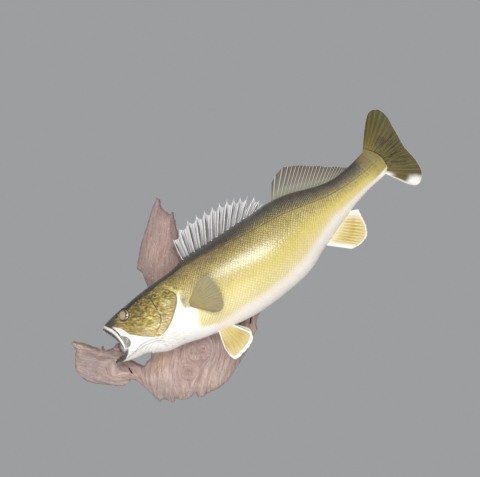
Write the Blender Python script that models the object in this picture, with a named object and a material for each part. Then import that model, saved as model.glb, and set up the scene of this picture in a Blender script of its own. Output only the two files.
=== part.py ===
"""A walleye, the North American pike-perch, mounted on a slab of driftwood that hangs on a wall.

Metres, +Z up. The slab's flat back lies in the plane y = 0, against the wall, and the room is
towards -Y. The fish shows its left side and climbs towards +X. The origin is on the slab's back.

The fish is laid out on an axis that runs from the gape to the root of the tail fin. A station is
a distance along that axis. At each station the back, the belly and the flanks have a named height
or width off it, and "side" is positive towards the room.
"""

import math

import bmesh
import bpy
import numpy as np
from mathutils import Matrix, Vector
from mathutils.geometry import delaunay_2d_cdt

# ---------------------------------------------------------------- driving dimensions

GAP = 0.0003  # left between pieces that touch

# The axis: its start at the gape, its distance in front of the wall, its slope and its sway.
AXIS_START_X, AXIS_START_Z = -0.184, -0.089
AXIS_DEPTH = -0.095
AXIS_SLOPE = (  # station, degrees above level
    (0.000, 26.0), (0.120, 26.0), (0.160, 27.0), (0.200, 29.5), (0.250, 31.0), (0.320, 34.5),
    (0.400, 40.0), (0.440, 40.5), (0.500, 37.5), (0.560, 40.0), (0.620, 45.0), (0.690, 51.0),
)
AXIS_SWAY = (  # station, shift in y
    (0.000, -0.008), (0.100, -0.003), (0.200, 0.000), (0.450, 0.000), (0.560, -0.005), (0.690, -0.016),
)

# The body's outline off the axis.
BACK_HEIGHT = (
    (0.000, 0.0365), (0.020, 0.0440), (0.040, 0.0505), (0.060, 0.0550), (0.080, 0.0605), (0.100, 0.0655),
    (0.140, 0.0720), (0.180, 0.0785), (0.220, 0.0870), (0.300, 0.0890), (0.360, 0.0880), (0.400, 0.0840),
    (0.440, 0.0800), (0.480, 0.0685), (0.520, 0.0515), (0.560, 0.0370), (0.600, 0.0315), (0.660, 0.0305),
)
BELLY_DEPTH = (
    (0.000, 0.0420), (0.020, 0.0470), (0.040, 0.0505), (0.060, 0.0520), (0.080, 0.0585), (0.100, 0.0655),
    (0.140, 0.0680), (0.180, 0.0750), (0.220, 0.0800), (0.300, 0.0870), (0.360, 0.0855), (0.420, 0.0810),
    (0.460, 0.0690), (0.500, 0.0560), (0.540, 0.0430), (0.580, 0.0340), (0.620, 0.0305), (0.660, 0.0330),
)
HALF_WIDTH = (
    (0.000, 0.0260), (0.020, 0.0285), (0.040, 0.0325), (0.080, 0.0400), (0.120, 0.0455), (0.160, 0.0480),
    (0.200, 0.0500), (0.260, 0.0550), (0.320, 0.0570), (0.380, 0.0540), (0.440, 0.0460), (0.500, 0.0350),
    (0.560, 0.0235), (0.620, 0.0140), (0.660, 0.0055),
)
BROADEST_HEIGHT = ((0.000, -0.0215), (0.040, -0.0120), (0.100, -0.0040), (0.160, 0.0000), (0.660, 0.0000))
FULLNESS = ((0.000, 2.0), (0.050, 2.15), (0.100, 2.0), (0.200, 2.1), (0.660, 2.0))  # of the superellipse

# The gape. Its rim runs from the snout back to the mouth's corners and forward to the chin.
SNOUT_STATION, CORNER_STATION, CHIN_STATION = 0.0042, 0.0290, -0.0050
RIM_CURVE = 2.1  # how sharply the rim turns back into the mouth's corners
RIM_FADE = 0.070  # behind the rim, the rings of the head become square to the axis over this length
LIP_THICKNESS = 0.0055
MOUTH_ROOF = ((0.000, 0.0310), (0.020, 0.0270), (0.050, 0.0180), (0.090, -0.0020))
MOUTH_FLOOR = ((0.000, 0.0355), (0.020, 0.0400), (0.050, 0.0410), (0.090, 0.0320))
MOUTH_HALF_WIDTH = ((0.000, 0.0205), (0.020, 0.0225), (0.050, 0.0250), (0.090, 0.0160))
MOUTH_DEPTH = 0.088
MOUTH_RINGS = (MOUTH_DEPTH, 0.070, 0.050, 0.032, 0.016, 0.002)  # distances inwards from the rim

# Where the body is parted.
JAW_JOINT = (0.095, -0.034)  # station and height
JAW_ROOT = (0.070, -0.062)
JAW_CORNER_OVERLAP = 0.002  # the jaw reaches this far behind the mouth's corner
BEYOND_CHIN, BEYOND_THROAT = -0.040, -0.100  # a station and a height clear of the head
CUT_HALF_BREADTH = 0.080  # a cut through the head reaches this far to both sides
HEAD_END, TRUNK_MIDDLE, TRUNK_END, TAIL_END = 0.168, 0.330, 0.500, 0.660
HEAD_RINGS = (0.000, 0.010, 0.022, 0.036, 0.052, 0.070, 0.090, 0.110, 0.130, 0.150, HEAD_END)
BODY_ROWS = 8  # rings along each length of the body

EYE_STATION, EYE_HEIGHT, EYE_SIDE = 0.0555, 0.0400, 0.0212
EYE_RADIUS, EYE_HALF_THICKNESS = 0.0127, 0.0068
EYE_LOOK = (-0.22, 0.36, 0.90)  # along the axis, up and to the side

TOOTH_HEIGHT, TOOTH_RADIUS, TOOTH_TIP_RADIUS, TOOTH_SINK = 0.0060, 0.0014, 0.0002, 0.0020
TOOTH_LEAN = -0.25  # teeth lean forward out of the gape by this share
UPPER_TEETH = ((82, 1.0), (66, 0.8), (48, 0.7), (30, 0.6))  # degrees round the mouth, relative size
LOWER_TEETH = ((-80, 1.0), (-62, 0.7), (-40, 0.6))

COLUMNS = 32  # points round the body

PALETTE = {
    "flank": (0.62, 0.52, 0.18), "cheek": (0.42, 0.33, 0.11), "belly": (0.90, 0.87, 0.80),
    "olive_fin": (0.40, 0.36, 0.24), "pale_fin": (0.55, 0.53, 0.50), "gold_fin": (0.85, 0.78, 0.45),
    "eye": (0.62, 0.52, 0.44), "wood": (0.42, 0.30, 0.26),
}

# ---------------------------------------------------------------- scene, collections, materials

for old in list(bpy.data.objects):
    bpy.data.objects.remove(old, do_unlink=True)

PARTS = bpy.data.collections.new("mounted_walleye")
CUTTERS = bpy.data.collections.new("cutters")
bpy.context.scene.collection.children.link(PARTS)
bpy.context.scene.collection.children.link(CUTTERS)


def finish_material(name, colour, roughness):
    material = bpy.data.materials.new(name)
    material.use_nodes = True
    shader = material.node_tree.nodes["Principled BSDF"]
    shader.inputs["Base Color"].default_value = (*colour, 1.0)
    shader.inputs["Roughness"].default_value = roughness
    shader.inputs["Metallic"].default_value = 0.0
    material.diffuse_color = (*colour, 1.0)
    return material


def add_part(name, mesh, colour, roughness=0.35):
    """A sub-part of the model in its own finish."""
    part = bpy.data.objects.new(name, mesh)
    PARTS.objects.link(part)
    mesh.materials.clear()
    mesh.materials.append(finish_material(name, PALETTE[colour], roughness))
    mesh.shade_smooth()
    mesh.set_sharp_from_angle(angle=math.radians(45))
    return part


def add_cutter(name, mesh):
    cutter = bpy.data.objects.new(name, mesh)
    CUTTERS.objects.link(cutter)
    cutter.hide_render = True
    cutter.display_type = "WIRE"
    return cutter


def add_boolean(part, operation, cutter):
    modifier = part.modifiers.new(f"{operation.lower()} {cutter.name}", "BOOLEAN")
    modifier.operation = operation
    modifier.solver = "EXACT"
    modifier.object = cutter


def mesh_from(build, name):
    """A mesh from a bmesh, with every face turned outwards."""
    bmesh.ops.recalc_face_normals(build, faces=build.faces)
    mesh = bpy.data.meshes.new(name)
    build.to_mesh(mesh)
    build.free()
    return mesh


# ---------------------------------------------------------------- curves through named sizes


def smooth_table(rows):
    """A curve through (place, value) rows that never overshoots them."""
    places, values = np.array(rows, dtype=float).T
    steps = np.diff(places)
    slopes = np.diff(values) / steps
    tangents = np.concatenate(([slopes[0]], (slopes[:-1] + slopes[1:]) / 2, [slopes[-1]]))
    for i in range(1, len(places) - 1):
        before, after = slopes[i - 1], slopes[i]
        if before * after <= 0:
            tangents[i] = 0.0
        else:
            limit = 3 * min(abs(before), abs(after))
            tangents[i] = max(-limit, min(limit, tangents[i]))

    def curve(place):
        place = np.clip(place, places[0], places[-1])
        i = int(np.clip(np.searchsorted(places, place, side="right") - 1, 0, len(steps) - 1))
        u = (place - places[i]) / steps[i]
        return float(
            (2 * u**3 - 3 * u**2 + 1) * values[i]
            + (u**3 - 2 * u**2 + u) * steps[i] * tangents[i]
            + (3 * u**2 - 2 * u**3) * values[i + 1]
            + (u**3 - u**2) * steps[i] * tangents[i + 1]
        )

    return curve


axis_slope = smooth_table(AXIS_SLOPE)
axis_sway = smooth_table(AXIS_SWAY)
back_height = smooth_table(BACK_HEIGHT)
belly_depth = smooth_table(BELLY_DEPTH)
half_width = smooth_table(HALF_WIDTH)
broadest_height = smooth_table(BROADEST_HEIGHT)
fullness = smooth_table(FULLNESS)
mouth_roof = smooth_table(MOUTH_ROOF)
mouth_floor = smooth_table(MOUTH_FLOOR)
mouth_half_width = smooth_table(MOUTH_HALF_WIDTH)

AXIS_STEP = 0.001
AXIS_STATIONS = np.arange(-0.060, 0.760, AXIS_STEP)
AXIS_ANGLES = np.radians([axis_slope(s + AXIS_STEP / 2) for s in AXIS_STATIONS])
AXIS_X = np.concatenate(([0.0], np.cumsum(np.cos(AXIS_ANGLES) * AXIS_STEP)))[:-1]
AXIS_Z = np.concatenate(([0.0], np.cumsum(np.sin(AXIS_ANGLES) * AXIS_STEP)))[:-1]
AXIS_X += AXIS_START_X - np.interp(0.0, AXIS_STATIONS, AXIS_X)
AXIS_Z += AXIS_START_Z - np.interp(0.0, AXIS_STATIONS, AXIS_Z)


def fish_point(station, height, side):
    """The place of a point given along the axis, above it and beside it."""
    slope = math.radians(axis_slope(station))
    x = float(np.interp(station, AXIS_STATIONS, AXIS_X)) - height * math.sin(slope)
    z = float(np.interp(station, AXIS_STATIONS, AXIS_Z)) + height * math.cos(slope)
    return Vector((x, AXIS_DEPTH + axis_sway(station) - side, z))


def fish_direction(station, along, up, side):
    slope = math.radians(axis_slope(station))
    x = along * math.cos(slope) - up * math.sin(slope)
    z = along * math.sin(slope) + up * math.cos(slope)
    return Vector((x, -side, z)).normalized()


# ---------------------------------------------------------------- the body's rings


def signed_power(value, power):
    return math.copysign(abs(value) ** power, value)


def rim_station(angle):
    """How far back the gape's rim lies, by the angle round the mouth."""
    front = SNOUT_STATION if math.sin(angle) >= 0 else CHIN_STATION
    return front + (CORNER_STATION - front) * abs(math.cos(angle)) ** RIM_CURVE


def skin_place(distance, angle, grow=0.0):
    """Station, height and side of the skin, by the distance behind the rim and the angle round the body."""
    fade = max(0.0, 1.0 - distance / RIM_FADE)
    station = distance + rim_station(angle) * fade**2 * (3 - 2 * fade)
    middle = broadest_height(station)
    reach = back_height(station) - middle if math.sin(angle) >= 0 else belly_depth(station) + middle
    power = 2 / fullness(station)
    height = middle + (reach + grow) * signed_power(math.sin(angle), power)
    side = (half_width(station) + grow) * signed_power(math.cos(angle), power)
    return station, height, side


def skin_point(distance, angle, grow=0.0):
    return fish_point(*skin_place(distance, angle, grow))


def mouth_point(distance, angle):
    """The lining of the mouth, by the distance inwards from the rim."""
    station = distance + rim_station(angle) * (1 - distance / MOUTH_DEPTH)
    middle = broadest_height(0.0)
    reach = mouth_roof(distance) - middle if math.sin(angle) >= 0 else mouth_floor(distance) + middle
    height = middle + reach * math.sin(angle)
    return fish_point(station, height, mouth_half_width(distance) * math.cos(angle))


def lip_point(angle):
    """The rounded front of the lips, half way between skin and lining."""
    middle = (skin_point(0.0, angle) + mouth_point(0.0, angle)) / 2
    return middle + fish_direction(0.0, -1, 0, 0) * (LIP_THICKNESS / 4)


def ring(place, distance, columns=COLUMNS, **options):
    return [place(distance, 2 * math.pi * (i + 0.5) / columns, **options) for i in range(columns)]


def loft(name, rings):
    """A closed body through rings of as many points each, with a flat end on the first and the last."""
    build = bmesh.new()
    rows = [[build.verts.new(point) for point in points] for points in rings]
    for lower, upper in zip(rows, rows[1:]):
        for i in range(len(lower)):
            j = (i + 1) % len(lower)
            build.faces.new((lower[i], lower[j], upper[j], upper[i]))
    build.faces.new(rows[0])
    build.faces.new(list(reversed(rows[-1])))
    return mesh_from(build, name)


def body_length(name, start, end):
    return loft(name, [ring(skin_point, s) for s in np.linspace(start, end, BODY_ROWS)])


# ---------------------------------------------------------------- head, jaw, teeth and eyes


def prism(name, outline):
    """A solid over an outline of stations and heights, which reaches past both sides of the head."""
    near = [fish_point(s, h, 0) + Vector((0, -CUT_HALF_BREADTH, 0)) for s, h in outline]
    far = [point + Vector((0, 2 * CUT_HALF_BREADTH, 0)) for point in near]
    return loft(name, [near, far])


def jaw_outline(clearance):
    """The side view of what belongs to the lower jaw, grown by a clearance towards the head."""
    corner_height = broadest_height(0.0) + clearance
    return (
        (BEYOND_CHIN, corner_height),
        (CORNER_STATION + JAW_CORNER_OVERLAP, corner_height),
        (JAW_JOINT[0] + clearance, JAW_JOINT[1] + clearance),
        (JAW_ROOT[0] + clearance, JAW_ROOT[1]),
        (JAW_ROOT[0] + clearance, BEYOND_THROAT),
        (BEYOND_CHIN, BEYOND_THROAT),
    )


def eye_mesh(name, side_sign, grow):
    """A thick glass lens, set square to the way the eye looks."""
    build = bmesh.new()
    bmesh.ops.create_uvsphere(build, u_segments=14, v_segments=8, radius=1.0)
    flatten = Matrix.Diagonal((EYE_RADIUS + grow, EYE_RADIUS + grow, EYE_HALF_THICKNESS + grow, 1.0))
    along, up, side = EYE_LOOK
    look = fish_direction(EYE_STATION, along, up, side * side_sign)
    centre = fish_point(EYE_STATION, EYE_HEIGHT, EYE_SIDE * side_sign)
    turn = look.to_track_quat("Z", "Y").to_matrix().to_4x4()
    bmesh.ops.transform(build, matrix=Matrix.Translation(centre) @ turn @ flatten, verts=build.verts)
    return mesh_from(build, name)


def teeth_mesh(name, roots):
    """Cones that stand in the lips; each root is its place, its direction and its size."""
    build = bmesh.new()
    for place, direction, size in roots:
        length = (TOOTH_HEIGHT + TOOTH_SINK) * size
        turn = direction.to_track_quat("Z", "Y").to_matrix().to_4x4()
        centre = place + direction * (length / 2 - TOOTH_SINK)
        bmesh.ops.create_cone(
            build, cap_ends=True, segments=6, radius1=TOOTH_RADIUS * size, radius2=TOOTH_TIP_RADIUS,
            depth=length, matrix=Matrix.Translation(centre) @ turn,
        )
    return mesh_from(build, name)


def tooth_roots(rows, up):
    """Teeth on the lip at angles round the mouth, on both sides, that point into the gape."""
    roots = []
    for angle, size in rows:
        for mirrored in (angle, 180 - angle):
            place = lip_point(math.radians(mirrored))
            roots.append((place, fish_direction(0.0, TOOTH_LEAN, up, 0.0), size))
    return roots


inner_rings = [ring(mouth_point, d) for d in MOUTH_RINGS]
lip_ring = [lip_point(2 * math.pi * (i + 0.5) / COLUMNS) for i in range(COLUMNS)]
outer_rings = [ring(skin_point, d) for d in HEAD_RINGS]
head_rings = inner_rings + [lip_ring] + outer_rings

jaw_region = add_cutter("jaw_region", prism("jaw_region", jaw_outline(0.0)))
jaw_recess = add_cutter("jaw_recess", prism("jaw_recess", jaw_outline(GAP)))
upper_teeth = add_cutter("upper_teeth", teeth_mesh("upper_teeth", tooth_roots(UPPER_TEETH, -1)))
lower_teeth = add_cutter("lower_teeth", teeth_mesh("lower_teeth", tooth_roots(LOWER_TEETH, 1)))

head = add_part("head", loft("head", head_rings), "cheek")
add_boolean(head, "DIFFERENCE", jaw_recess)
add_boolean(head, "UNION", upper_teeth)
jaw = add_part("lower_jaw", loft("lower_jaw", head_rings), "belly")
add_boolean(jaw, "INTERSECT", jaw_region)
add_boolean(jaw, "UNION", lower_teeth)

for word, sign in (("left", 1), ("right", -1)):
    add_boolean(head, "DIFFERENCE", add_cutter(f"socket_{word}", eye_mesh(f"socket_{word}", sign, GAP)))
    add_part(f"eye_{word}", eye_mesh(f"eye_{word}", sign, 0.0), "eye", roughness=0.05)

# ---------------------------------------------------------------- plates on the head


def raised_plate(name, place, rows, columns, thickness):
    """A plate that lies on the skin; place(u, v, lift) gives a point of it, u and v from 0 to 1."""
    build = bmesh.new()
    grids = []
    for lift in (GAP * 2, thickness):
        grid = [[build.verts.new(place(u, v, lift)) for v in np.linspace(0, 1, columns)]
                for u in np.linspace(0, 1, rows)]
        grids.append(grid)
    below, above = grids
    for i in range(rows - 1):
        for j in range(columns - 1):
            for grid in grids:
                build.faces.new((grid[i][j], grid[i + 1][j], grid[i + 1][j + 1], grid[i][j + 1]))
    edge = [(i, 0) for i in range(rows)] + [(rows - 1, j) for j in range(1, columns)]
    edge += [(i, columns - 1) for i in range(rows - 2, -1, -1)] + [(0, j) for j in range(columns - 2, 0, -1)]
    for (i, j), (k, m) in zip(edge, edge[1:] + edge[:1]):
        build.faces.new((below[i][j], below[k][m], above[k][m], above[i][j]))
    return mesh_from(build, name)


def skin_side(station, height, grow):
    """How far out the flank is at a station and a height."""
    middle = broadest_height(station)
    reach = (back_height(station) - middle if height >= middle else belly_depth(station) + middle) + grow
    power = fullness(station)
    share = min(1.0, abs(height - middle) / reach)
    return (half_width(station) + grow) * (1 - share**power) ** (1 / power)


# The gill cover: its front edge on the cheek and its hind edge over the gill opening, from top to bottom.
COVER_FRONT = ((0.0, 0.109), (0.5, 0.116), (0.8, 0.106), (1.0, 0.088))
COVER_HIND = ((0.0, 0.137), (0.35, 0.160), (0.6, 0.146), (1.0, 0.098))
COVER_TOP, COVER_BOTTOM = 0.052, -0.040
COVER_THICKNESS, COVER_FRONT_SHARE = 0.0024, 0.6  # the cover is thinner along its front edge
COVER_ROWS, COVER_COLUMNS = 8, 5
cover_front, cover_hind = smooth_table(COVER_FRONT), smooth_table(COVER_HIND)

# The maxilla: a strap along the upper lip that widens into a paddle past the mouth's corner.
MAXILLA_TOP, MAXILLA_END = math.radians(74), math.radians(-3)
MAXILLA_NARROW, MAXILLA_WIDE, MAXILLA_FLARE = 0.004, 0.017, 1.5
MAXILLA_INSET = 0.0015  # from the rim of the gape
MAXILLA_THICKNESS = 0.0022
MAXILLA_ROWS, MAXILLA_COLUMNS = 8, 3


def maxilla_place(sign):
    def place(u, v, lift):
        angle = MAXILLA_TOP + (MAXILLA_END - MAXILLA_TOP) * u
        width = MAXILLA_NARROW + (MAXILLA_WIDE - MAXILLA_NARROW) * u**MAXILLA_FLARE
        distance = MAXILLA_INSET + width * v
        station, height, side = skin_place(distance, angle, lift)
        return fish_point(station, height, side * sign)

    return place


def cover_place(sign):
    def place(u, v, lift):
        """From the top edge down, and from the front edge back."""
        height = COVER_TOP + (COVER_BOTTOM - COVER_TOP) * u
        front, hind = cover_front(u), cover_hind(u)
        station = front + (hind - front) * v
        thinner = COVER_FRONT_SHARE + (1 - COVER_FRONT_SHARE) * v
        raised = lift if lift < COVER_THICKNESS / 2 else lift * thinner
        return fish_point(station, height, skin_side(station, height, raised) * sign)

    return place


for word, sign in (("left", 1), ("right", -1)):
    maxilla = raised_plate(
        f"maxilla_{word}", maxilla_place(sign), MAXILLA_ROWS, MAXILLA_COLUMNS, MAXILLA_THICKNESS
    )
    add_part(f"maxilla_{word}", maxilla, "belly")
    cover = raised_plate(
        f"gill_cover_{word}", cover_place(sign), COVER_ROWS, COVER_COLUMNS, COVER_THICKNESS
    )
    add_part(f"gill_cover_{word}", cover, "cheek")

# ---------------------------------------------------------------- trunk and tail

add_part("trunk_front", body_length("trunk_front", HEAD_END + GAP, TRUNK_MIDDLE), "flank")
add_part("trunk_rear", body_length("trunk_rear", TRUNK_MIDDLE + GAP, TRUNK_END), "flank")
add_part("tail", body_length("tail", TRUNK_END + GAP, TAIL_END), "flank")

# ---------------------------------------------------------------- fins

FIN_EDGE = 0.0010  # thickness of every fin at its outer edge
MEDIAN_FIN_ROOT, TAIL_FIN_ROOT = 0.0038, 0.0050
FIN_ROWS, TAIL_FIN_ROWS = 4, 6


def fin_sheet(name, roots, tips, root_thickness, rows):
    """A thin fin between a row of root points and as many tip points."""
    build = bmesh.new()
    faces_of = []
    for sign in (1, -1):
        grid = []
        for k in range(rows):
            t = k / (rows - 1)
            half = (root_thickness + (FIN_EDGE - root_thickness) * t) / 2
            line = []
            for root, tip in zip(roots, tips):
                point = root.lerp(tip, t)
                point.y -= half * sign
                line.append(build.verts.new(point))
            grid.append(line)
        faces_of.append(grid)
    near, far = faces_of
    columns = len(roots)
    for grid in faces_of:
        for k in range(rows - 1):
            for i in range(columns - 1):
                build.faces.new((grid[k][i], grid[k][i + 1], grid[k + 1][i + 1], grid[k + 1][i]))
    edge = [(0, i) for i in range(columns)] + [(k, columns - 1) for k in range(1, rows)]
    edge += [(rows - 1, i) for i in range(columns - 2, -1, -1)] + [(k, 0) for k in range(rows - 2, 0, -1)]
    for (k, i), (m, j) in zip(edge, edge[1:] + edge[:1]):
        build.faces.new((near[k][i], near[m][j], far[m][j], far[k][i]))
    return mesh_from(build, name)


def leaning(point, degrees, length, side=0.0):
    """The tip of a ray that leaves a root at an angle above level, in the plane of the wall."""
    angle = math.radians(degrees)
    return point + Vector((math.cos(angle) * length, -side, math.sin(angle) * length))


# The spiny dorsal fin: the webs between its spines are cut back in scallops.
SPINES = 14
SPINY_START, SPINY_END = 0.215, 0.410
SPINE_LENGTH = (
    (0.0, 0.047), (0.15, 0.068), (0.5, 0.071), (0.68, 0.062), (0.84, 0.051), (0.92, 0.036), (1.0, 0.021),
)
SPINE_LEAN = ((0.0, 116.0), (0.25, 97.0), (0.5, 86.0), (0.75, 75.0), (1.0, 56.0))
WEB_SHARE = 0.86
spine_length, spine_lean = smooth_table(SPINE_LENGTH), smooth_table(SPINE_LEAN)


def build_spiny_dorsal():
    roots, tips = [], []
    for i in range(2 * SPINES - 1):
        t = i / (2 * SPINES - 2)
        station = SPINY_START + (SPINY_END - SPINY_START) * t
        root = fish_point(station, back_height(station) + 2 * GAP, 0.0)
        share = 1.0 if i % 2 == 0 else WEB_SHARE
        roots.append(root)
        tips.append(leaning(root, spine_lean(t), spine_length(t) * share))
    fin = fin_sheet("dorsal_fin_spiny", roots, tips, MEDIAN_FIN_ROOT, FIN_ROWS)
    add_part("dorsal_fin_spiny", fin, "pale_fin")


# The soft dorsal fin: its top edge is nearly level.
SOFT_START, SOFT_END = 0.450, 0.596
SOFT_LENGTH = (
    (0.0, 0.050), (0.06, 0.063), (0.12, 0.066), (0.4, 0.054), (0.7, 0.040), (0.9, 0.026), (1.0, 0.016),
)
SOFT_LEAN = ((0.0, 82.0), (0.12, 76.0), (0.5, 72.0), (0.8, 62.0), (1.0, 52.0))
SOFT_COLUMNS = 18
soft_length, soft_lean = smooth_table(SOFT_LENGTH), smooth_table(SOFT_LEAN)


def build_soft_dorsal():
    roots, tips = [], []
    for t in np.linspace(0, 1, SOFT_COLUMNS):
        station = SOFT_START + (SOFT_END - SOFT_START) * t
        root = fish_point(station, back_height(station) + 2 * GAP, 0.0)
        roots.append(root)
        tips.append(leaning(root, soft_lean(t), soft_length(t)))
    fin = fin_sheet("dorsal_fin_soft", roots, tips, MEDIAN_FIN_ROOT, FIN_ROWS)
    add_part("dorsal_fin_soft", fin, "pale_fin")


# The anal fin sweeps back under the tail.
ANAL_START, ANAL_END = 0.476, 0.556
ANAL_LENGTH = ((0.0, 0.054), (0.15, 0.064), (0.35, 0.067), (0.6, 0.056), (0.85, 0.032), (1.0, 0.018))
ANAL_LEAN = ((0.0, -8.0), (0.5, -7.0), (0.8, 0.0), (1.0, 12.0))
ANAL_COLUMNS = 12
anal_length, anal_lean = smooth_table(ANAL_LENGTH), smooth_table(ANAL_LEAN)


def build_anal():
    roots, tips = [], []
    for t in np.linspace(0, 1, ANAL_COLUMNS):
        station = ANAL_START + (ANAL_END - ANAL_START) * t
        root = fish_point(station, -belly_depth(station) - 2 * GAP, 0.0)
        roots.append(root)
        tips.append(leaning(root, anal_lean(t), anal_length(t)))
    add_part("anal_fin", fin_sheet("anal_fin", roots, tips, MEDIAN_FIN_ROOT, FIN_ROWS), "gold_fin")


# The tail fin: a spread fan round the end of the spine, with a shallow fork.
TAIL_FAN_SLOPE = 34.0
TAIL_FAN_TOP, TAIL_FAN_BOTTOM = 70.0, -68.0
TAIL_FAN_RADIUS = (
    (-68.0, 0.078), (-64.0, 0.095), (-55.0, 0.1005), (-47.0, 0.0980), (-34.0, 0.0855), (-18.0, 0.072),
    (-4.0, 0.067), (10.0, 0.069), (30.0, 0.081), (45.0, 0.100), (54.0, 0.107), (64.0, 0.101), (70.0, 0.082),
)
TAIL_ROOT_HEIGHT, TAIL_FAN_SWAY = 0.0300, 0.010
TAIL_COLUMNS = 20
tail_fan_radius = smooth_table(TAIL_FAN_RADIUS)


def build_tail_fin():
    hub = fish_point(TAIL_END, 0.0, 0.0)
    roots, tips = [], []
    for t in np.linspace(0, 1, TAIL_COLUMNS):
        angle = TAIL_FAN_TOP + (TAIL_FAN_BOTTOM - TAIL_FAN_TOP) * t
        height = TAIL_ROOT_HEIGHT * (1 - 2 * t)
        roots.append(fish_point(TAIL_END + 2 * GAP, height, 0.0))
        tips.append(leaning(hub, TAIL_FAN_SLOPE + angle, tail_fan_radius(angle), side=TAIL_FAN_SWAY))
    add_part("tail_fin", fin_sheet("tail_fin", roots, tips, TAIL_FIN_ROOT, TAIL_FIN_ROWS), "olive_fin")


# The paired fins are fans. Each is laid out in the plane of the wall and leans away from the body.
PECTORAL_STATION, PECTORAL_HEIGHT = 0.182, 0.002
PECTORAL_TOP, PECTORAL_BOTTOM = 66.0, -12.0
PECTORAL_RADIUS = (
    (-12.0, 0.063), (-6.0, 0.071), (5.0, 0.074), (22.0, 0.072), (46.0, 0.073), (58.0, 0.071), (66.0, 0.060),
)
PECTORAL_STANDOFF, PECTORAL_ROOT_RADIUS = 0.0028, 0.012
PECTORAL_HUB_SETBACK = 0.001
PECTORAL_LEAN_NEAR, PECTORAL_LEAN_FAR = 0.017, 0.012  # how far the tips stand off the body
PECTORAL_THICKNESS = 0.0034
PELVIC_STATION, PELVIC_HUB_HEIGHT, PELVIC_SIDE = 0.221, -0.074, 0.012
PELVIC_ROOT_LENGTH, PELVIC_SPLAY, PELVIC_THICKNESS = 0.030, 0.014, 0.0036
PELVIC_HUB_SHARE = 0.47  # where the hub lies along the root
PELVIC_TOP, PELVIC_BOTTOM = -9.0, -88.0
PELVIC_RADIUS = (
    (-88.0, 0.042), (-78.0, 0.060), (-68.0, 0.069), (-55.0, 0.065), (-38.0, 0.064), (-20.0, 0.062),
    (-9.0, 0.052),
)
PAIRED_COLUMNS = 12
pectoral_radius, pelvic_radius = smooth_table(PECTORAL_RADIUS), smooth_table(PELVIC_RADIUS)


def build_pectoral(word, sign, lean_out):
    roots, tips = [], []
    hub = fish_point(PECTORAL_STATION - PECTORAL_HUB_SETBACK, PECTORAL_HEIGHT, 0.0)
    hub.y = AXIS_DEPTH - sign * (half_width(PECTORAL_STATION) + PECTORAL_STANDOFF)
    for t in np.linspace(0, 1, PAIRED_COLUMNS):
        angle = PECTORAL_TOP + (PECTORAL_BOTTOM - PECTORAL_TOP) * t
        roots.append(leaning(hub, angle, PECTORAL_ROOT_RADIUS))
        tips.append(leaning(hub, angle, pectoral_radius(angle), side=sign * lean_out))
    name = f"pectoral_fin_{word}"
    add_part(name, fin_sheet(name, roots, tips, PECTORAL_THICKNESS, FIN_ROWS), "olive_fin")


def build_pelvic(word, sign):
    roots, tips = [], []
    hub = fish_point(PELVIC_STATION, PELVIC_HUB_HEIGHT, sign * PELVIC_SIDE)
    inner_side = PELVIC_SIDE - PELVIC_THICKNESS / 2
    for t in np.linspace(0, 1, PAIRED_COLUMNS):
        angle = PELVIC_BOTTOM + (PELVIC_TOP - PELVIC_BOTTOM) * t
        station = PELVIC_STATION + PELVIC_ROOT_LENGTH * (t - PELVIC_HUB_SHARE)
        power = fullness(station)
        drop = belly_depth(station) * (1 - (inner_side / half_width(station)) ** power) ** (1 / power)
        roots.append(fish_point(station, -drop - 2 * GAP, sign * PELVIC_SIDE))
        tips.append(leaning(hub, angle, pelvic_radius(angle), side=sign * PELVIC_SPLAY))
    name = f"pelvic_fin_{word}"
    add_part(name, fin_sheet(name, roots, tips, PELVIC_THICKNESS, FIN_ROWS), "gold_fin")


build_spiny_dorsal()
build_soft_dorsal()
build_anal()
build_tail_fin()
build_pectoral("left", 1, PECTORAL_LEAN_NEAR)
build_pectoral("right", -1, PECTORAL_LEAN_FAR)
build_pelvic("left", 1)
build_pelvic("right", -1)

# ---------------------------------------------------------------- driftwood

# The slab's edge, from the thorn of its upper horn round by the hidden right side to the lower slab,
# the left arm, the notch between them and the edge behind the head.
WOOD_OUTLINE = (
    (-0.098, 0.217), (-0.090, 0.214), (-0.086, 0.194), (-0.077, 0.187), (-0.069, 0.181), (-0.064, 0.188),
    (-0.059, 0.177), (-0.054, 0.150), (-0.042, 0.105), (-0.011, 0.077), (0.039, 0.065), (0.085, 0.039),
    (0.119, 0.006), (0.128, -0.031), (0.122, -0.048), (0.119, -0.059), (0.123, -0.069), (0.112, -0.085),
    (0.106, -0.103), (0.095, -0.124), (0.082, -0.145), (0.067, -0.169), (0.055, -0.184), (0.043, -0.194),
    (0.027, -0.204), (0.014, -0.208), (0.003, -0.217), (-0.007, -0.219), (-0.015, -0.208), (-0.022, -0.217),
    (-0.033, -0.223), (-0.046, -0.224), (-0.054, -0.220), (-0.062, -0.232), (-0.070, -0.225),
    (-0.082, -0.222), (-0.091, -0.229), (-0.101, -0.219), (-0.115, -0.205), (-0.128, -0.194),
    (-0.137, -0.184), (-0.150, -0.179), (-0.157, -0.185), (-0.168, -0.194), (-0.194, -0.192),
    (-0.226, -0.189), (-0.248, -0.184), (-0.263, -0.172), (-0.275, -0.156), (-0.276, -0.132),
    (-0.273, -0.116), (-0.284, -0.101), (-0.280, -0.095), (-0.261, -0.098), (-0.233, -0.107),
    (-0.221, -0.112), (-0.217, -0.105), (-0.211, -0.113), (-0.194, -0.110), (-0.186, -0.100),
    (-0.179, -0.098), (-0.173, -0.115), (-0.153, -0.135), (-0.137, -0.144), (-0.126, -0.149),
    (-0.118, -0.136), (-0.112, -0.129), (-0.110, -0.093), (-0.113, -0.042), (-0.115, 0.003),
    (-0.121, 0.027), (-0.130, 0.051), (-0.142, 0.061), (-0.139, 0.087), (-0.133, 0.118), (-0.124, 0.143),
    (-0.115, 0.175), (-0.108, 0.197),
)
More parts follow.
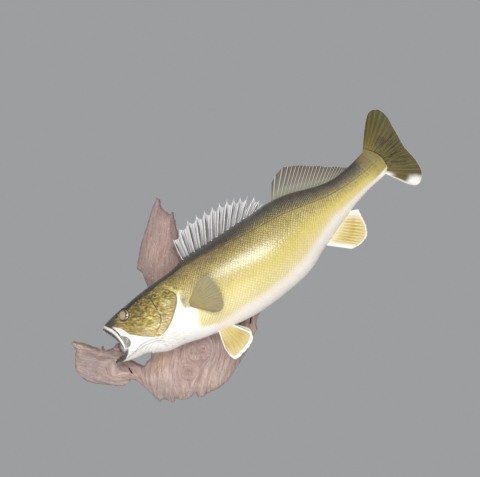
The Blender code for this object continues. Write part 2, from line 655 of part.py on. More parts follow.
WOOD_GRID, WOOD_GRID_MARGIN = 0.013, 0.0078  # spacing of the relief, and how far it keeps off the edge
WOOD_EDGE_INSET, WOOD_EDGE_BULGE = 0.0025, 0.55  # the edge is broadest at this share of the thickness
WOOD_EDGE_THICKNESS, WOOD_CORE_THICKNESS = 0.024, 0.043
WOOD_ROUNDING = 0.030  # the slab reaches its full thickness this far in from its edge
WOOD_SWELLS = (  # x, z, radius, height of knots and ridges on the slab's front
    (-0.003, -0.112, 0.040, 0.010), (-0.026, -0.158, 0.035, 0.009), (0.070, -0.120, 0.030, 0.005),
    (-0.095, 0.100, 0.045, 0.009), (-0.185, -0.150, 0.045, 0.012), (-0.245, -0.125, 0.030, 0.006),
    (-0.070, -0.195, 0.030, 0.005),
)
SEAT_START, SEAT_END, SEAT_ROWS = 0.060, 0.420, 19
POCKET_FLOOR, POCKET_MARGIN, POCKET_RADIUS = -0.026, 0.005, 0.076
POCKET_ROOT_SPREAD, POCKET_TIP_INSET, POCKET_COLUMNS = 40.0, 6.0, 7  # degrees, degrees, points


def outline_distance(x, z):
    """How far a point is from the slab's edge, in the plane of the wall."""
    corners = np.array(WOOD_OUTLINE)
    ends = np.roll(corners, -1, axis=0)
    runs = ends - corners
    offsets = np.array((x, z)) - corners
    shares = np.clip((offsets * runs).sum(axis=1) / (runs**2).sum(axis=1), 0, 1)
    return float(np.linalg.norm(offsets - runs * shares[:, None], axis=1).min())


def inside_outline(x, z):
    inside = False
    for (ax, az), (bx, bz) in zip(WOOD_OUTLINE, WOOD_OUTLINE[1:] + WOOD_OUTLINE[:1]):
        if (az > z) != (bz > z) and x < ax + (z - az) / (bz - az) * (bx - ax):
            inside = not inside
    return inside


def wood_front(x, z):
    """The slab's thickness at a place."""
    share = min(1.0, outline_distance(x, z) / WOOD_ROUNDING)
    rise = WOOD_CORE_THICKNESS - WOOD_EDGE_THICKNESS
    thickness = WOOD_EDGE_THICKNESS + rise * math.sin(share * math.pi / 2)
    for swell_x, swell_z, radius, height in WOOD_SWELLS:
        away = math.hypot(x - swell_x, z - swell_z) / radius
        thickness += height * share * math.exp(-2 * away**2)
    return thickness


def inset_outline(inset):
    """The slab's edge, moved inwards at each corner along the corner's own bisector."""
    corners = [Vector(corner) for corner in WOOD_OUTLINE]
    moved = []
    for i, corner in enumerate(corners):
        before = (corner - corners[i - 1]).normalized()
        after = (corners[(i + 1) % len(corners)] - corner).normalized()
        run = (before + after).normalized()
        moved.append(corner + Vector((run.y, -run.x)) * inset)
    return moved


def build_driftwood():
    """A flat back, an edge that bulges a little, and a front in relief over a grid of points."""
    rim_points = inset_outline(WOOD_EDGE_INSET)
    lows = np.min(WOOD_OUTLINE, axis=0)
    highs = np.max(WOOD_OUTLINE, axis=0)
    inner = []
    for x in np.arange(lows[0], highs[0], WOOD_GRID):
        for z in np.arange(lows[1], highs[1], WOOD_GRID):
            if inside_outline(x, z) and outline_distance(x, z) > WOOD_GRID_MARGIN:
                inner.append(Vector((x, z)))
    count = len(rim_points)
    loop = [(i, (i + 1) % count) for i in range(count)]
    points, _, triangles, *_ = delaunay_2d_cdt(rim_points + inner, loop, [], 1, 1e-6)

    build = bmesh.new()
    front = [build.verts.new((p.x, -wood_front(p.x, p.y), p.y)) for p in points]
    for triangle in triangles:
        build.faces.new([front[i] for i in triangle])
    bulge = [build.verts.new((x, -wood_front(x, z) * WOOD_EDGE_BULGE, z)) for x, z in WOOD_OUTLINE]
    back = [build.verts.new((p.x, 0.0, p.y)) for p in rim_points]
    for i, j in loop:
        build.faces.new((front[i], front[j], bulge[j], bulge[i]))
        build.faces.new((bulge[i], bulge[j], back[j], back[i]))
    build.faces.new(back)
    return add_part("driftwood", mesh_from(build, "driftwood"), "wood", roughness=0.8)


def fish_seat():
    """The fish's far flank, a little grown, which the slab is carved to take."""
    stations = np.linspace(SEAT_START, SEAT_END, SEAT_ROWS)
    return loft("fish_seat", [ring(skin_point, s, grow=2 * GAP) for s in stations])


def fin_pocket():
    """A hollow in the slab behind the fish, which leaves room for the far pectoral fin."""
    hub = fish_point(PECTORAL_STATION - POCKET_MARGIN, PECTORAL_HEIGHT - POCKET_MARGIN / 2, 0.0)
    rings = []
    for depth, margin in ((POCKET_FLOOR, POCKET_MARGIN), (AXIS_DEPTH, 2 * POCKET_MARGIN)):
        outline = [
            leaning(hub, PECTORAL_BOTTOM - POCKET_ROOT_SPREAD, margin),
            leaning(hub, PECTORAL_TOP + POCKET_ROOT_SPREAD, margin),
        ]
        top, bottom = PECTORAL_TOP + POCKET_TIP_INSET, PECTORAL_BOTTOM - POCKET_TIP_INSET
        for angle in np.linspace(top, bottom, POCKET_COLUMNS):
            outline.append(leaning(hub, angle, POCKET_RADIUS + margin))
        rings.append([Vector((point.x, depth, point.z)) for point in outline])
    return loft("fin_pocket", rings)


driftwood = build_driftwood()
add_boolean(driftwood, "DIFFERENCE", add_cutter("fish_seat", fish_seat()))
add_boolean(driftwood, "DIFFERENCE", add_cutter("fin_pocket", fin_pocket()))
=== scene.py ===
import math

import bpy
import numpy as np
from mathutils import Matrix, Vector, noise
from mathutils.bvhtree import BVHTree
from mathutils.geometry import delaunay_2d_cdt


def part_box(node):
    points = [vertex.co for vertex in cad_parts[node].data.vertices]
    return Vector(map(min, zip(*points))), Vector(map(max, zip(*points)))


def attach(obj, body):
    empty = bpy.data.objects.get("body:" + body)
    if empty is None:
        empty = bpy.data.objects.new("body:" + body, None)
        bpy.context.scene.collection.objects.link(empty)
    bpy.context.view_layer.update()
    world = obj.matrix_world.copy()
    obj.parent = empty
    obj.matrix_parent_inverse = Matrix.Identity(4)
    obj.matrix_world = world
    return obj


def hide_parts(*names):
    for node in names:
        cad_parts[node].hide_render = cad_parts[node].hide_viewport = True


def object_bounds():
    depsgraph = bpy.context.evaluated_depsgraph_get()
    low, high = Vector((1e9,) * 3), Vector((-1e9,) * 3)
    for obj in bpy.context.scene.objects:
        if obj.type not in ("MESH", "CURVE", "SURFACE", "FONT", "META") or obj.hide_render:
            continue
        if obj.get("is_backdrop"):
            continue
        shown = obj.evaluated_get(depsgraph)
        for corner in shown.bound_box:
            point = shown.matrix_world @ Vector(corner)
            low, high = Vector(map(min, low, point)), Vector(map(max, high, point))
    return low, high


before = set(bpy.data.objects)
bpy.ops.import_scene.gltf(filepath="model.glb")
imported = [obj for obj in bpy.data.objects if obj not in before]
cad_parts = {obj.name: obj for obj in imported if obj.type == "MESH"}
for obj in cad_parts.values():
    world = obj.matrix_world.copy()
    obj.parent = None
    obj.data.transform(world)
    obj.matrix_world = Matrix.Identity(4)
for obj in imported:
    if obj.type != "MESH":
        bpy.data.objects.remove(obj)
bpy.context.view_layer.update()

# ==== The room
# The mount hangs on its own in a pale room, some way above a plain floor. It is lit by a wide soft
# lamp in front of it, a larger and weaker one from below, and the room's even light.

slab_low, slab_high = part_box("driftwood")
shoulder_low, shoulder_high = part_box("trunk_front")
VIEW_X = slab_high.x - 0.0456
VIEW_Z = slab_high.z - 0.0903
VIEW_DISTANCE = 1.5  # from the fish's middle plane

room = bpy.data.worlds.new("room")
bpy.context.scene.world = room
room.use_nodes = True
room.node_tree.nodes["Background"].inputs["Color"].default_value = (0.80, 0.81, 0.83, 1.0)
room.node_tree.nodes["Background"].inputs["Strength"].default_value = 0.42
bpy.context.scene.view_settings.view_transform = "Standard"

camera_data = bpy.data.cameras.new("viewer")
camera_data.sensor_width = 36.0
camera_data.lens = 54.61
viewer = bpy.data.objects.new("viewer", camera_data)
bpy.context.scene.collection.objects.link(viewer)
viewer.location = (VIEW_X, (shoulder_low.y + shoulder_high.y) / 2 - VIEW_DISTANCE, VIEW_Z)
viewer.rotation_euler = (math.radians(90), 0.0, 0.0)
bpy.context.scene.camera = viewer


def hang_lamp(name, place, target, width, height, watts):
    lamp_data = bpy.data.lights.new(name, "AREA")
    lamp_data.shape = "RECTANGLE"
    lamp_data.size = width
    lamp_data.size_y = height
    lamp_data.energy = watts
    lamp = bpy.data.objects.new(name, lamp_data)
    bpy.context.scene.collection.objects.link(lamp)
    lamp.location = place
    lamp.rotation_euler = (Vector(target) - Vector(place)).to_track_quat("-Z", "Y").to_euler()


hang_lamp("soft_lamp", (0.12, -1.85, 0.56), (0.10, -0.09, 0.06), 0.90, 0.34, 17.0)
hang_lamp("low_fill", (0.00, -1.65, -1.00), (0.05, -0.09, 0.0), 1.7, 1.7, 22.0)

floor_mesh = bpy.data.meshes.new("floor")
FLOOR_Z = slab_low.z - 1.1
floor_mesh.from_pydata(
    [(-1.5, -1.9, FLOOR_Z), (1.7, -1.9, FLOOR_Z), (1.7, 1.3, FLOOR_Z), (-1.5, 1.3, FLOOR_Z)], [], [(0, 1, 2, 3)]
)
floor = bpy.data.objects.new("floor", floor_mesh)
bpy.context.scene.collection.objects.link(floor)
floor_paint = bpy.data.materials.new("floor_paint")
floor_paint.use_nodes = True
floor_paint.node_tree.nodes["Principled BSDF"].inputs["Base Color"].default_value = (0.72, 0.71, 0.69, 1.0)
floor_paint.node_tree.nodes["Principled BSDF"].inputs["Roughness"].default_value = 0.7
floor_mesh.materials.append(floor_paint)
floor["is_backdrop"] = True

# ==== The fish's skin: its form
# A tanned walleye skin drawn over a carved form, head on the left, curved up towards the tail. The
# form is told by stations along an axis and by heights and widths off it, all in metres.

AXIS_START_X, AXIS_START_Z, AXIS_DEPTH = -0.184, -0.089, -0.095
AXIS_SLOPE = (
    (0.000, 26.0), (0.120, 26.0), (0.160, 27.0), (0.200, 29.5), (0.250, 31.0), (0.320, 34.5),
    (0.400, 40.0), (0.440, 40.5), (0.500, 37.5), (0.560, 40.0), (0.620, 45.0), (0.690, 51.0),
)
AXIS_SWAY = (
    (0.000, -0.008), (0.100, -0.003), (0.200, 0.000), (0.450, 0.000), (0.560, -0.005), (0.690, -0.016),
)
BACK_HEIGHT = (
    (0.000, 0.0365), (0.020, 0.0440), (0.040, 0.0505), (0.060, 0.0550), (0.080, 0.0605), (0.100, 0.0655),
    (0.140, 0.0720), (0.180, 0.0785), (0.220, 0.0870), (0.300, 0.0890), (0.360, 0.0880), (0.400, 0.0840),
    (0.440, 0.0800), (0.480, 0.0685), (0.520, 0.0515), (0.560, 0.0370), (0.600, 0.0315), (0.660, 0.0305),
)
BELLY_DEPTH = (
    (0.000, 0.0420), (0.020, 0.0470), (0.040, 0.0505), (0.060, 0.0520), (0.080, 0.0585), (0.100, 0.0655),
    (0.140, 0.0680), (0.180, 0.0750), (0.220, 0.0800), (0.300, 0.0870), (0.360, 0.0855), (0.420, 0.0810),
    (0.460, 0.0690), (0.500, 0.0560), (0.540, 0.0430), (0.580, 0.0340), (0.620, 0.0305), (0.660, 0.0330),
)
HALF_WIDTH = (
    (0.000, 0.0260), (0.020, 0.0285), (0.040, 0.0325), (0.080, 0.0400), (0.120, 0.0455), (0.160, 0.0480),
    (0.200, 0.0500), (0.260, 0.0550), (0.320, 0.0570), (0.380, 0.0540), (0.440, 0.0460), (0.500, 0.0350),
    (0.560, 0.0235), (0.620, 0.0140), (0.650, 0.0070), (0.666, 0.0024),
)
BROADEST_HEIGHT = ((0.000, -0.0215), (0.040, -0.0120), (0.100, -0.0040), (0.160, 0.0000), (0.660, 0.0000))
FULLNESS = ((0.000, 2.0), (0.050, 2.15), (0.100, 2.0), (0.200, 2.1), (0.660, 2.0))
SNOUT_STATION, CORNER_STATION, CHIN_STATION, RIM_CURVE, RIM_FADE = 0.0042, 0.0290, -0.0050, 2.1, 0.070
MOUTH_ROOF = ((0.000, 0.0310), (0.020, 0.0270), (0.050, 0.0180), (0.090, -0.0020))
MOUTH_FLOOR = ((0.000, 0.0355), (0.020, 0.0400), (0.050, 0.0410), (0.090, 0.0320))
MOUTH_HALF_WIDTH = ((0.000, 0.0205), (0.020, 0.0225), (0.050, 0.0250), (0.090, 0.0160))
MOUTH_DEPTH, LIP_REACH = 0.088, 0.0016
COAT_DEPTH = 0.0005  # the scales stand on the skin within this depth
TAIL_END, TAIL_ROUNDING = 0.666, 0.012


def smooth_table(rows):
    """A curve through (place, value) rows that never overshoots them."""
    places, values = np.array(rows, dtype=float).T
    steps = np.diff(places)
    slopes = np.diff(values) / steps
    tangents = np.concatenate(([slopes[0]], (slopes[:-1] + slopes[1:]) / 2, [slopes[-1]]))
    for i in range(1, len(places) - 1):
        before, after = slopes[i - 1], slopes[i]
        limit = 3 * min(abs(before), abs(after)) if before * after > 0 else 0.0
        tangents[i] = max(-limit, min(limit, tangents[i]))

    def curve(place):
        place = np.clip(place, places[0], places[-1])
        i = np.clip(np.searchsorted(places, place, side="right") - 1, 0, len(steps) - 1)
        u = (place - places[i]) / steps[i]
        return (
            (2 * u**3 - 3 * u**2 + 1) * values[i]
            + (u**3 - 2 * u**2 + u) * steps[i] * tangents[i]
            + (3 * u**2 - 2 * u**3) * values[i + 1]
            + (u**3 - u**2) * steps[i] * tangents[i + 1]
        )

    return curve


axis_slope, axis_sway = smooth_table(AXIS_SLOPE), smooth_table(AXIS_SWAY)
back_height, belly_depth = smooth_table(BACK_HEIGHT), smooth_table(BELLY_DEPTH)
half_width, broadest_height = smooth_table(HALF_WIDTH), smooth_table(BROADEST_HEIGHT)
fullness = smooth_table(FULLNESS)
mouth_roof, mouth_floor = smooth_table(MOUTH_ROOF), smooth_table(MOUTH_FLOOR)
mouth_half_width = smooth_table(MOUTH_HALF_WIDTH)

AXIS_STEP = 0.001
AXIS_STATIONS = np.arange(-0.060, 0.760, AXIS_STEP)
AXIS_ANGLES = np.radians(axis_slope(AXIS_STATIONS + AXIS_STEP / 2))
AXIS_X = np.concatenate(([0.0], np.cumsum(np.cos(AXIS_ANGLES) * AXIS_STEP)))[:-1]
AXIS_Z = np.concatenate(([0.0], np.cumsum(np.sin(AXIS_ANGLES) * AXIS_STEP)))[:-1]
AXIS_X += AXIS_START_X - np.interp(0.0, AXIS_STATIONS, AXIS_X)
AXIS_Z += AXIS_START_Z - np.interp(0.0, AXIS_STATIONS, AXIS_Z)


def fish_point(station, height, side):
    """The place of a point given along the axis, above it and beside it, towards the room."""
    slope = np.radians(axis_slope(station))
    x = np.interp(station, AXIS_STATIONS, AXIS_X) - height * np.sin(slope)
    z = np.interp(station, AXIS_STATIONS, AXIS_Z) + height * np.cos(slope)
    return np.stack(np.broadcast_arrays(x, AXIS_DEPTH + axis_sway(station) - side, z), axis=-1)


def fish_direction(station, along, up, side):
    slope = math.radians(axis_slope(station))
    x = along * math.cos(slope) - up * math.sin(slope)
    z = along * math.sin(slope) + up * math.cos(slope)
    return np.array((x, -side, z)) / math.sqrt(x * x + z * z + side * side)


def ramped(value, start, end):
    """0 before the start, 1 after the end, and smooth between; start may be the larger."""
    share = np.clip((value - start) / (end - start), 0, 1)
    return share * share * (3 - 2 * share)


def signed_power(value, power):
    return np.sign(value) * np.abs(value) ** power


def rim_station(angle):
    front = np.where(np.sin(angle) >= 0, SNOUT_STATION, CHIN_STATION)
    return front + (CORNER_STATION - front) * np.abs(np.cos(angle)) ** RIM_CURVE


def skin_place(distance, angle):
    """Station, height and side of the bare form, by the distance behind the rim and the angle round it."""
    fade = np.maximum(0.0, 1.0 - distance / RIM_FADE)
    station = distance + rim_station(angle) * fade**2 * (3 - 2 * fade)
    middle = broadest_height(station)
    reach = np.where(np.sin(angle) >= 0, back_height(station) - middle, belly_depth(station) + middle)
    power = 2 / fullness(station)
    height = middle + reach * signed_power(np.sin(angle), power)
    side = half_width(station) * signed_power(np.cos(angle), power)
    rounded = ramped(station, 0.636, TAIL_END) * np.maximum(0.0, 1 - (height / 0.034) ** 2)
    return station + TAIL_ROUNDING * rounded, height, side


def mouth_place(distance, angle):
    """Station, height and side of the mouth's lining. The tongue lies along its floor."""
    station = distance + rim_station(angle) * (1 - distance / MOUTH_DEPTH)
    station = station - 0.0050 * ramped(distance, 0.009, 0.001) * ramped(np.sin(angle), -0.2, 0.2)
    middle = broadest_height(0.0)
    reach = np.where(np.sin(angle) >= 0, mouth_roof(distance) - middle, mouth_floor(distance) + middle)
    side = mouth_half_width(distance) * np.cos(angle)
    tongue = 0.009 * np.exp(-((side / 0.0085) ** 4)) * ramped(distance, 0.012, 0.022) * (np.sin(angle) < 0)
    ridges = 0.0007 * np.sin(side / 0.0016) * ramped(distance, 0.004, 0.012) * (np.sin(angle) > 0)
    return station, middle + reach * np.sin(angle) + tongue + ridges, side


COLUMNS = 264
angles = 2 * math.pi * (np.arange(COLUMNS) + 0.5) / COLUMNS
lining_rows = np.concatenate((np.linspace(MOUTH_DEPTH, 0.020, 16), np.linspace(0.018, 0.001, 12)))
head_rows = np.arange(0.0, 0.186, 0.0010)
body_rows = np.concatenate((np.linspace(0.1875, 0.600, 122), np.linspace(0.603, TAIL_END, 22)))
outer_rows = np.concatenate((head_rows, body_rows))

lining_grid = np.meshgrid(lining_rows, angles, indexing="ij")
lining_points = fish_point(*mouth_place(*lining_grid))
outer_grid = np.meshgrid(outer_rows, angles, indexing="ij")
stations, heights, sides = skin_place(*outer_grid)
form_points = fish_point(stations, heights, sides)


def grid_normals(points):
    """Outward normals of a grid whose columns close round the body."""
    back = np.gradient(points, axis=0)
    round_body = np.roll(points, -1, axis=1) - np.roll(points, 1, axis=1)
    normals = np.cross(round_body, back)
    return normals / np.maximum(np.linalg.norm(normals, axis=-1, keepdims=True), 1e-12)


form_normals = grid_normals(form_points)

# ==== The fish's skin: relief of the head
# Under the skin the skull is filled out with clay: jaw bones, gill covers, the rims of the eyes and
# the folds of the throat. Each is a rise or a crease along a line told by stations and heights.


def line_through(rows, count=48):
    """A smooth line through (station, height) rows, given in millimetres."""
    rows = np.array(rows, dtype=float) / 1000
    runs = np.concatenate(([0.0], np.cumsum(np.hypot(*np.diff(rows, axis=0).T))))
    spots = np.linspace(0, runs[-1], count)
    return np.stack([smooth_table(list(zip(runs, rows[:, k])))(spots) for k in (0, 1)], axis=-1)


def distance_to(line, station, height):
    """How far places are from a line, signed: positive on the left hand of one who walks along it."""
    best = np.full(np.shape(station), 1e9)
    signed = np.zeros(np.shape(station))
    for start, end in zip(line, line[1:]):
        run = end - start
        length_2 = max(run @ run, 1e-18)
        share = np.clip(((station - start[0]) * run[0] + (height - start[1]) * run[1]) / length_2, 0, 1)
        off_s = station - start[0] - run[0] * share
        off_h = height - start[1] - run[1] * share
        away = np.hypot(off_s, off_h)
        closer = away < best
        best = np.where(closer, away, best)
        hand = np.sign(run[0] * off_h - run[1] * off_s)
        signed = np.where(closer, away * np.where(hand == 0, 1, hand), signed)
    return signed


GILL_EDGE = line_through(
    ((108, 61.5), (117, 61), (126, 61), (140, 59), (153, 53.5), (164, 44), (170.5, 32), (168.5, 22),
     (160, 10), (149, -2), (133, -16), (113, -28.6), (92, -41), (72, -53), (54, -66)), 72
)
PREOPERCLE = line_through(((108, 54), (117, 48.6), (121.6, 31), (124, 12.3), (120.2, -1.7), (111.3, -11), (98, -20)))
CHEEK_GROOVE = line_through(((78.6, 26.4), (92, 22.5), (106.6, 16.6)))
GILL_ARC = line_through(((117, 54), (124, 57), (133, 58), (143, 56.5), (152, 52.4), (161, 45.5), (168, 37), (171, 30)))
JAW_FOLD = line_through(((12, -41), (25.4, -39), (47.5, -32.8), (67, -26.5), (85, -27.5), (100, -31)))
THROAT_FOLD = line_through(((32, -39.8), (52, -34), (68, -32.4), (84, -33), (102, -36)))
# the white of the cheek and throat: its upper edge up to a spike over the gill opening, and back down
PALE_TOP = line_through(
    ((-20, 34), (10, 34), (18, 31.5), (23, 29.7), (30, 25.4), (39, 19.3), (45, 11.4), (50, 2.5), (60, -4.5),
     (72, -13.2), (87, -22), (96, -27.5), (104, -29), (117, -25.2), (136, -13.5), (149, -1.5), (160, 10.5),
     (166, 18.5), (173, 28.5), (180.2, 38.5)), 90
)
PALE_HIND = line_through(((180.2, 38.5), (176.5, 26), (173, 14.7), (173, 4), (179, -3), (186.5, -6), (191, -11), (191, -18),
                    (187.5, -28), (184, -36), (182, -44), (188, -53), (210, -59), (240, -62)), 60)
PALE_ZONE = np.concatenate((PALE_TOP, PALE_HIND, ((0.24, -0.12), (-0.02, -0.12))))
PADDLE = line_through(
    ((28, 7), (35, 5), (43, -0.5), (46.8, -9.6), (44, -18), (36, -21.5), (29.5, -18), (27, -8), (28, 7))
)


def inside_of(outline, station, height):
    """True at places inside a closed outline."""
    inside = np.zeros(np.shape(station), dtype=bool)
    for (a_s, a_h), (b_s, b_h) in zip(outline, np.roll(outline, -1, axis=0)):
        if a_h != b_h:
            crosses = (a_h > height) != (b_h > height)
            inside ^= crosses & (station < a_s + (height - a_h) / (b_h - a_h) * (b_s - a_s))
    return inside


def depth_in(outline, station, height):
    """How deep places lie inside a closed outline; less than 0 outside it."""
    away = np.abs(distance_to(np.concatenate((outline, outline[:1])), station, height))
    return np.where(inside_of(outline, station, height), away, -away)


EYE_STATION, EYE_HEIGHT, EYE_SIDE = 0.0555, 0.0400, 0.0212
EYE_RADIUS, EYE_HALF_THICKNESS = 0.0127, 0.0068
EYE_LOOK = (-0.22, 0.36, 0.90)

on_head = slice(0, int(np.searchsorted(outer_rows, 0.215)))
s, h = stations[on_head], heights[on_head]
behind_rim, round_head = outer_grid[0][on_head], outer_grid[1][on_head]
gill_distance = distance_to(GILL_EDGE, s, h)
cover = -gill_distance  # positive in front of the gill cover's hind edge
pale_depth = depth_in(PALE_ZONE, s, h)
preopercle = distance_to(PREOPERCLE, s, h)
creases = {
    "preopercle": (preopercle, 0.0005), "cheek": (distance_to(CHEEK_GROOVE, s, h), 0.0004),
    "arc": (distance_to(GILL_ARC, s, h), 0.0004), "jaw": (distance_to(JAW_FOLD, s, h), 0.0008),
    "throat": (distance_to(THROAT_FOLD, s, h), 0.0006),
}

below_nape = ramped(h, 0.061, 0.050)
lift = np.zeros_like(s)
lift += 0.0019 * ramped(cover, 0.0, 0.0012) * ramped(cover, 0.034, 0.008) * below_nape
lift -= 0.0012 * np.exp(-(((cover + 0.0012) / 0.0011) ** 2)) * below_nape
lift += 0.0008 * ramped(
    preopercle, -0.0006, 0.0004
) * ramped(preopercle, 0.016, 0.002) * (h > -0.03) * ramped(h, 0.058, 0.050)
for distance, depth in creases.values():
    lift -= depth * np.exp(-((distance / 0.0011) ** 2))

# the rays under the gill membrane
under_cover = ramped(h, -0.030, -0.040) * ramped(cover, 0.0, 0.003) * ramped(s, 0.045, 0.070)
lift += 0.0007 * np.cos(2 * math.pi * cover / 0.0062) * under_cover

# the upper jaw: a rolled white lip, the strap of the maxilla behind it and the strap's paddle
face_angle = np.arcsin(np.sin(round_head))
LIP_WIDTH, STRAP_WIDTH = 0.0036, 0.0044
upper_face = ramped(face_angle, -0.30, -0.12)
strap_in = ramped(face_angle, -0.10, 0.05) * ramped(face_angle, 1.35, 1.10)
strap_front = behind_rim - LIP_WIDTH
on_strap = strap_in * ramped(strap_front, 0.0, 0.0008) * ramped(strap_front, STRAP_WIDTH, STRAP_WIDTH - 0.001)
paddle = depth_in(PADDLE, s, h)
on_paddle = ramped(paddle, -0.0003, 0.0009) * (behind_rim > 0.0022)
upper_lip = upper_face * ramped(behind_rim, LIP_WIDTH, LIP_WIDTH - 0.0012) * (1 - on_paddle)
lower_lip = ramped(face_angle, -0.42, -0.62) * ramped(behind_rim, 0.0055, 0.0035)
lift += 0.0009 * upper_lip + 0.0004 * lower_lip - 0.0004 * on_strap * (1 - on_paddle)
lift += 0.0015 * ramped(paddle, 0.0, 0.0022) * (behind_rim > 0.0010) + 0.0005 * ramped(paddle, 0.002, 0.007)
lift -= 0.0006 * np.exp(-(((paddle + 0.0009) / 0.0008) ** 2)) * (behind_rim > 0.003)

# the rim round each eye, a nostril before it and the bones over the brow
toward_eye = np.hypot(s - EYE_STATION, (h - EYE_HEIGHT) * 1.02)
lift += 0.0009 * np.exp(-(((toward_eye - 0.0150) / 0.0018) ** 2)) * ramped(np.abs(sides[on_head]), 0.004, 0.014)
for nostril_s, nostril_h, nostril_size in ((0.0305, 0.0405, 0.0014), (0.0375, 0.0435, 0.0017)):
    near = np.hypot(s - nostril_s, h - nostril_h) / nostril_size
    lift += 0.0006 * np.exp(-((near - 1.3) ** 2) * 4) - 0.0014 * np.exp(-(near**2))
lift += 0.0006 * np.exp(-(((h - 0.028) / 0.004) ** 2)) * ramped(s, 0.020, 0.030) * ramped(s, 0.050, 0.040)
# the fleshy root of each pectoral fin
lift += 0.0024 * np.exp(-(((s - 0.181) / 0.007) ** 2) - (((h + 0.002) / 0.012) ** 2))

lifts = np.zeros_like(stations)
lifts[on_head] = lift
skin_points = form_points + form_normals * (lifts - COAT_DEPTH)[..., None]

# the socket: the skin sinks behind each glass eye and clings to its rim
eye_seats = {}
for word, sign in (("left", 1), ("right", -1)):
    along, up, side = EYE_LOOK
    look = fish_direction(EYE_STATION, along, up, side * sign)
    centre = fish_point(EYE_STATION, EYE_HEIGHT, EYE_SIDE * sign)
    eye_seats[word] = (centre, look)
    offsets = skin_points[on_head] - centre
    ahead = offsets @ look
    across = offsets - ahead[..., None] * look
    radius = np.linalg.norm(across, axis=-1)
    seat = np.where(
        radius < EYE_RADIUS,
        -0.0035 + 0.0061 * np.clip(radius / EYE_RADIUS, 0, 1) ** 6,
        0.0026 - 0.0010 * ramped(radius, EYE_RADIUS, EYE_RADIUS + 0.006),
    )
    near = (ahead > -0.020) & (np.sign(sides[on_head]) == sign)
    share = ramped(radius, 0.0185, 0.0135) * near
    skin_points[on_head] += (share * (seat - ahead))[..., None] * look

LIP_ROWS = 7
lip_turns = math.pi * (np.arange(LIP_ROWS) + 1) / (LIP_ROWS + 1)
lip_middle = (skin_points[0] + lining_points[-1]) / 2
lip_half = (skin_points[0] - lining_points[-1]) / 2
forward = fish_direction(0.0, -1, 0, 0)
lip_points = np.stack(
    [lip_middle - lip_half * math.cos(t) + forward * LIP_REACH * math.sin(t) for t in lip_turns]
)
LINING_COUNT = len(lining_rows)
all_points = np.concatenate((lining_points, lip_points, skin_points))
ROWS = len(all_points)

# ==== The fish's skin: its colours
# The tanned skin is painted: charcoal back, a lateral line, olive-gold flank, white belly and throat,
# and an olive head netted with dark veins, all under clear gloss lacquer.

LATERAL_LINE = smooth_table(
    ((0.120, 0.0670), (0.158, 0.0690), (0.214, 0.0740), (0.254, 0.0735), (0.319, 0.0670), (0.384, 0.0564),
     (0.440, 0.0455), (0.491, 0.0295), (0.545, 0.0150), (0.581, 0.0086), (0.619, 0.0039), (0.652, 0.0001),
     (0.680, -0.0020))
)
BELLY_LINE = smooth_table(
    ((0.100, -0.050), (0.190, -0.0533), (0.220, -0.0560), (0.282, -0.0515), (0.340, -0.0513), (0.392, -0.0500),
     (0.434, -0.0435), (0.473, -0.0335), (0.521, -0.0220), (0.574, -0.0195), (0.614, -0.0205), (0.640, -0.0235))
)


def tone_at(station, height):
    """0 at the belly's keel, 0.3 where its white ends, 0.7 on the lateral line and 1 on the back."""
    line, white = LATERAL_LINE(station), BELLY_LINE(station)
    keel, ridge = -belly_depth(station), back_height(station)
    return np.select(
        [height < white, height < line],
        [0.3 * (height - keel) / (white - keel), 0.3 + 0.4 * (height - white) / (line - white)],
        0.7 + 0.3 * np.clip((height - line) / (ridge - line), 0, 1),
    )


pale_field = np.full_like(stations, -0.10)
pale_field[on_head] = pale_depth
cover_field = np.full_like(stations, -0.10)
cover_field[on_head] = cover
nape = ramped(h, 0.046, 0.060)
face_field = np.zeros_like(stations)
face_field[on_head] = ramped(cover, -0.0006 - 0.055 * nape, 0.0004 + 0.020 * nape)
grey_field = np.zeros_like(stations)
snout_grey = ramped(s, 0.046, 0.026) * ramped(h, 0.025, 0.032)
chin_grey = ramped(behind_rim, 0.0125, 0.0095) * ramped(face_angle, -0.14, -0.40)
grey_field[on_head] = np.max(
    (on_strap * (1 - on_paddle), 0.8 * on_paddle, 0.8 * snout_grey * (1 - upper_lip), chin_grey), axis=0
)
snout_field = np.zeros_like(stations)
snout_field[on_head] = np.maximum(snout_grey * (1 - upper_lip), chin_grey)
white_lip = np.zeros_like(stations)
white_lip[on_head] = upper_lip


def crease_field(name):
    field = np.full_like(stations, 0.05)
    field[on_head] = creases[name][0]
    return over_all(field * 1000, 50.0)


def over_all(field, inner):
    """A field of the outer skin, carried on over lips and lining with one value."""
    return np.concatenate((np.full((ROWS - len(field), COLUMNS), inner), field))


# painted shade inside the lips: a dark band on the lining near the rim and on the lips' inner rows
inner_lip_shade_field = np.zeros((ROWS, COLUMNS))
upper_half, chin_part = ramped(np.sin(angles), -0.50, -0.10), ramped(np.sin(angles), -0.25, -0.55)
inner_lip_shade_field[:LINING_COUNT] = ramped(lining_rows, 0.012, 0.006)[:, None] * (0.9 * upper_half + chin_part)
inner_lip_shade_field[LINING_COUNT:LINING_COUNT + LIP_ROWS] = (
    np.array((1, 1, 1, 1, 0.9, 0.5, 0.1))[:, None] * upper_half + chin_part
)
crown_field = np.zeros_like(stations)
crown_half = smooth_table((
    (0.000, 0.0115), (0.027, 0.0145), (0.040, 0.0170), (0.054, 0.0175), (0.060, 0.0185), (0.067, 0.0205),
    (0.089, 0.0195), (0.105, 0.0215), (0.115, 0.0240), (0.127, 0.0240), (0.140, 0.0215), (0.152, 0.0205), (0.175, 0.0225),
    (0.200, 0.0245), (0.240, 0.0245),
))
beyond_crown = np.abs(sides[on_head]) - crown_half(s)
crown_field[on_head] = ramped(beyond_crown, 0.0030, -0.0020) * (h > 0) * ramped(s, 0.225, 0.190)
tail_field = (TAIL_END - outer_grid[0]) * 100
shoulder_field = np.zeros_like(stations)
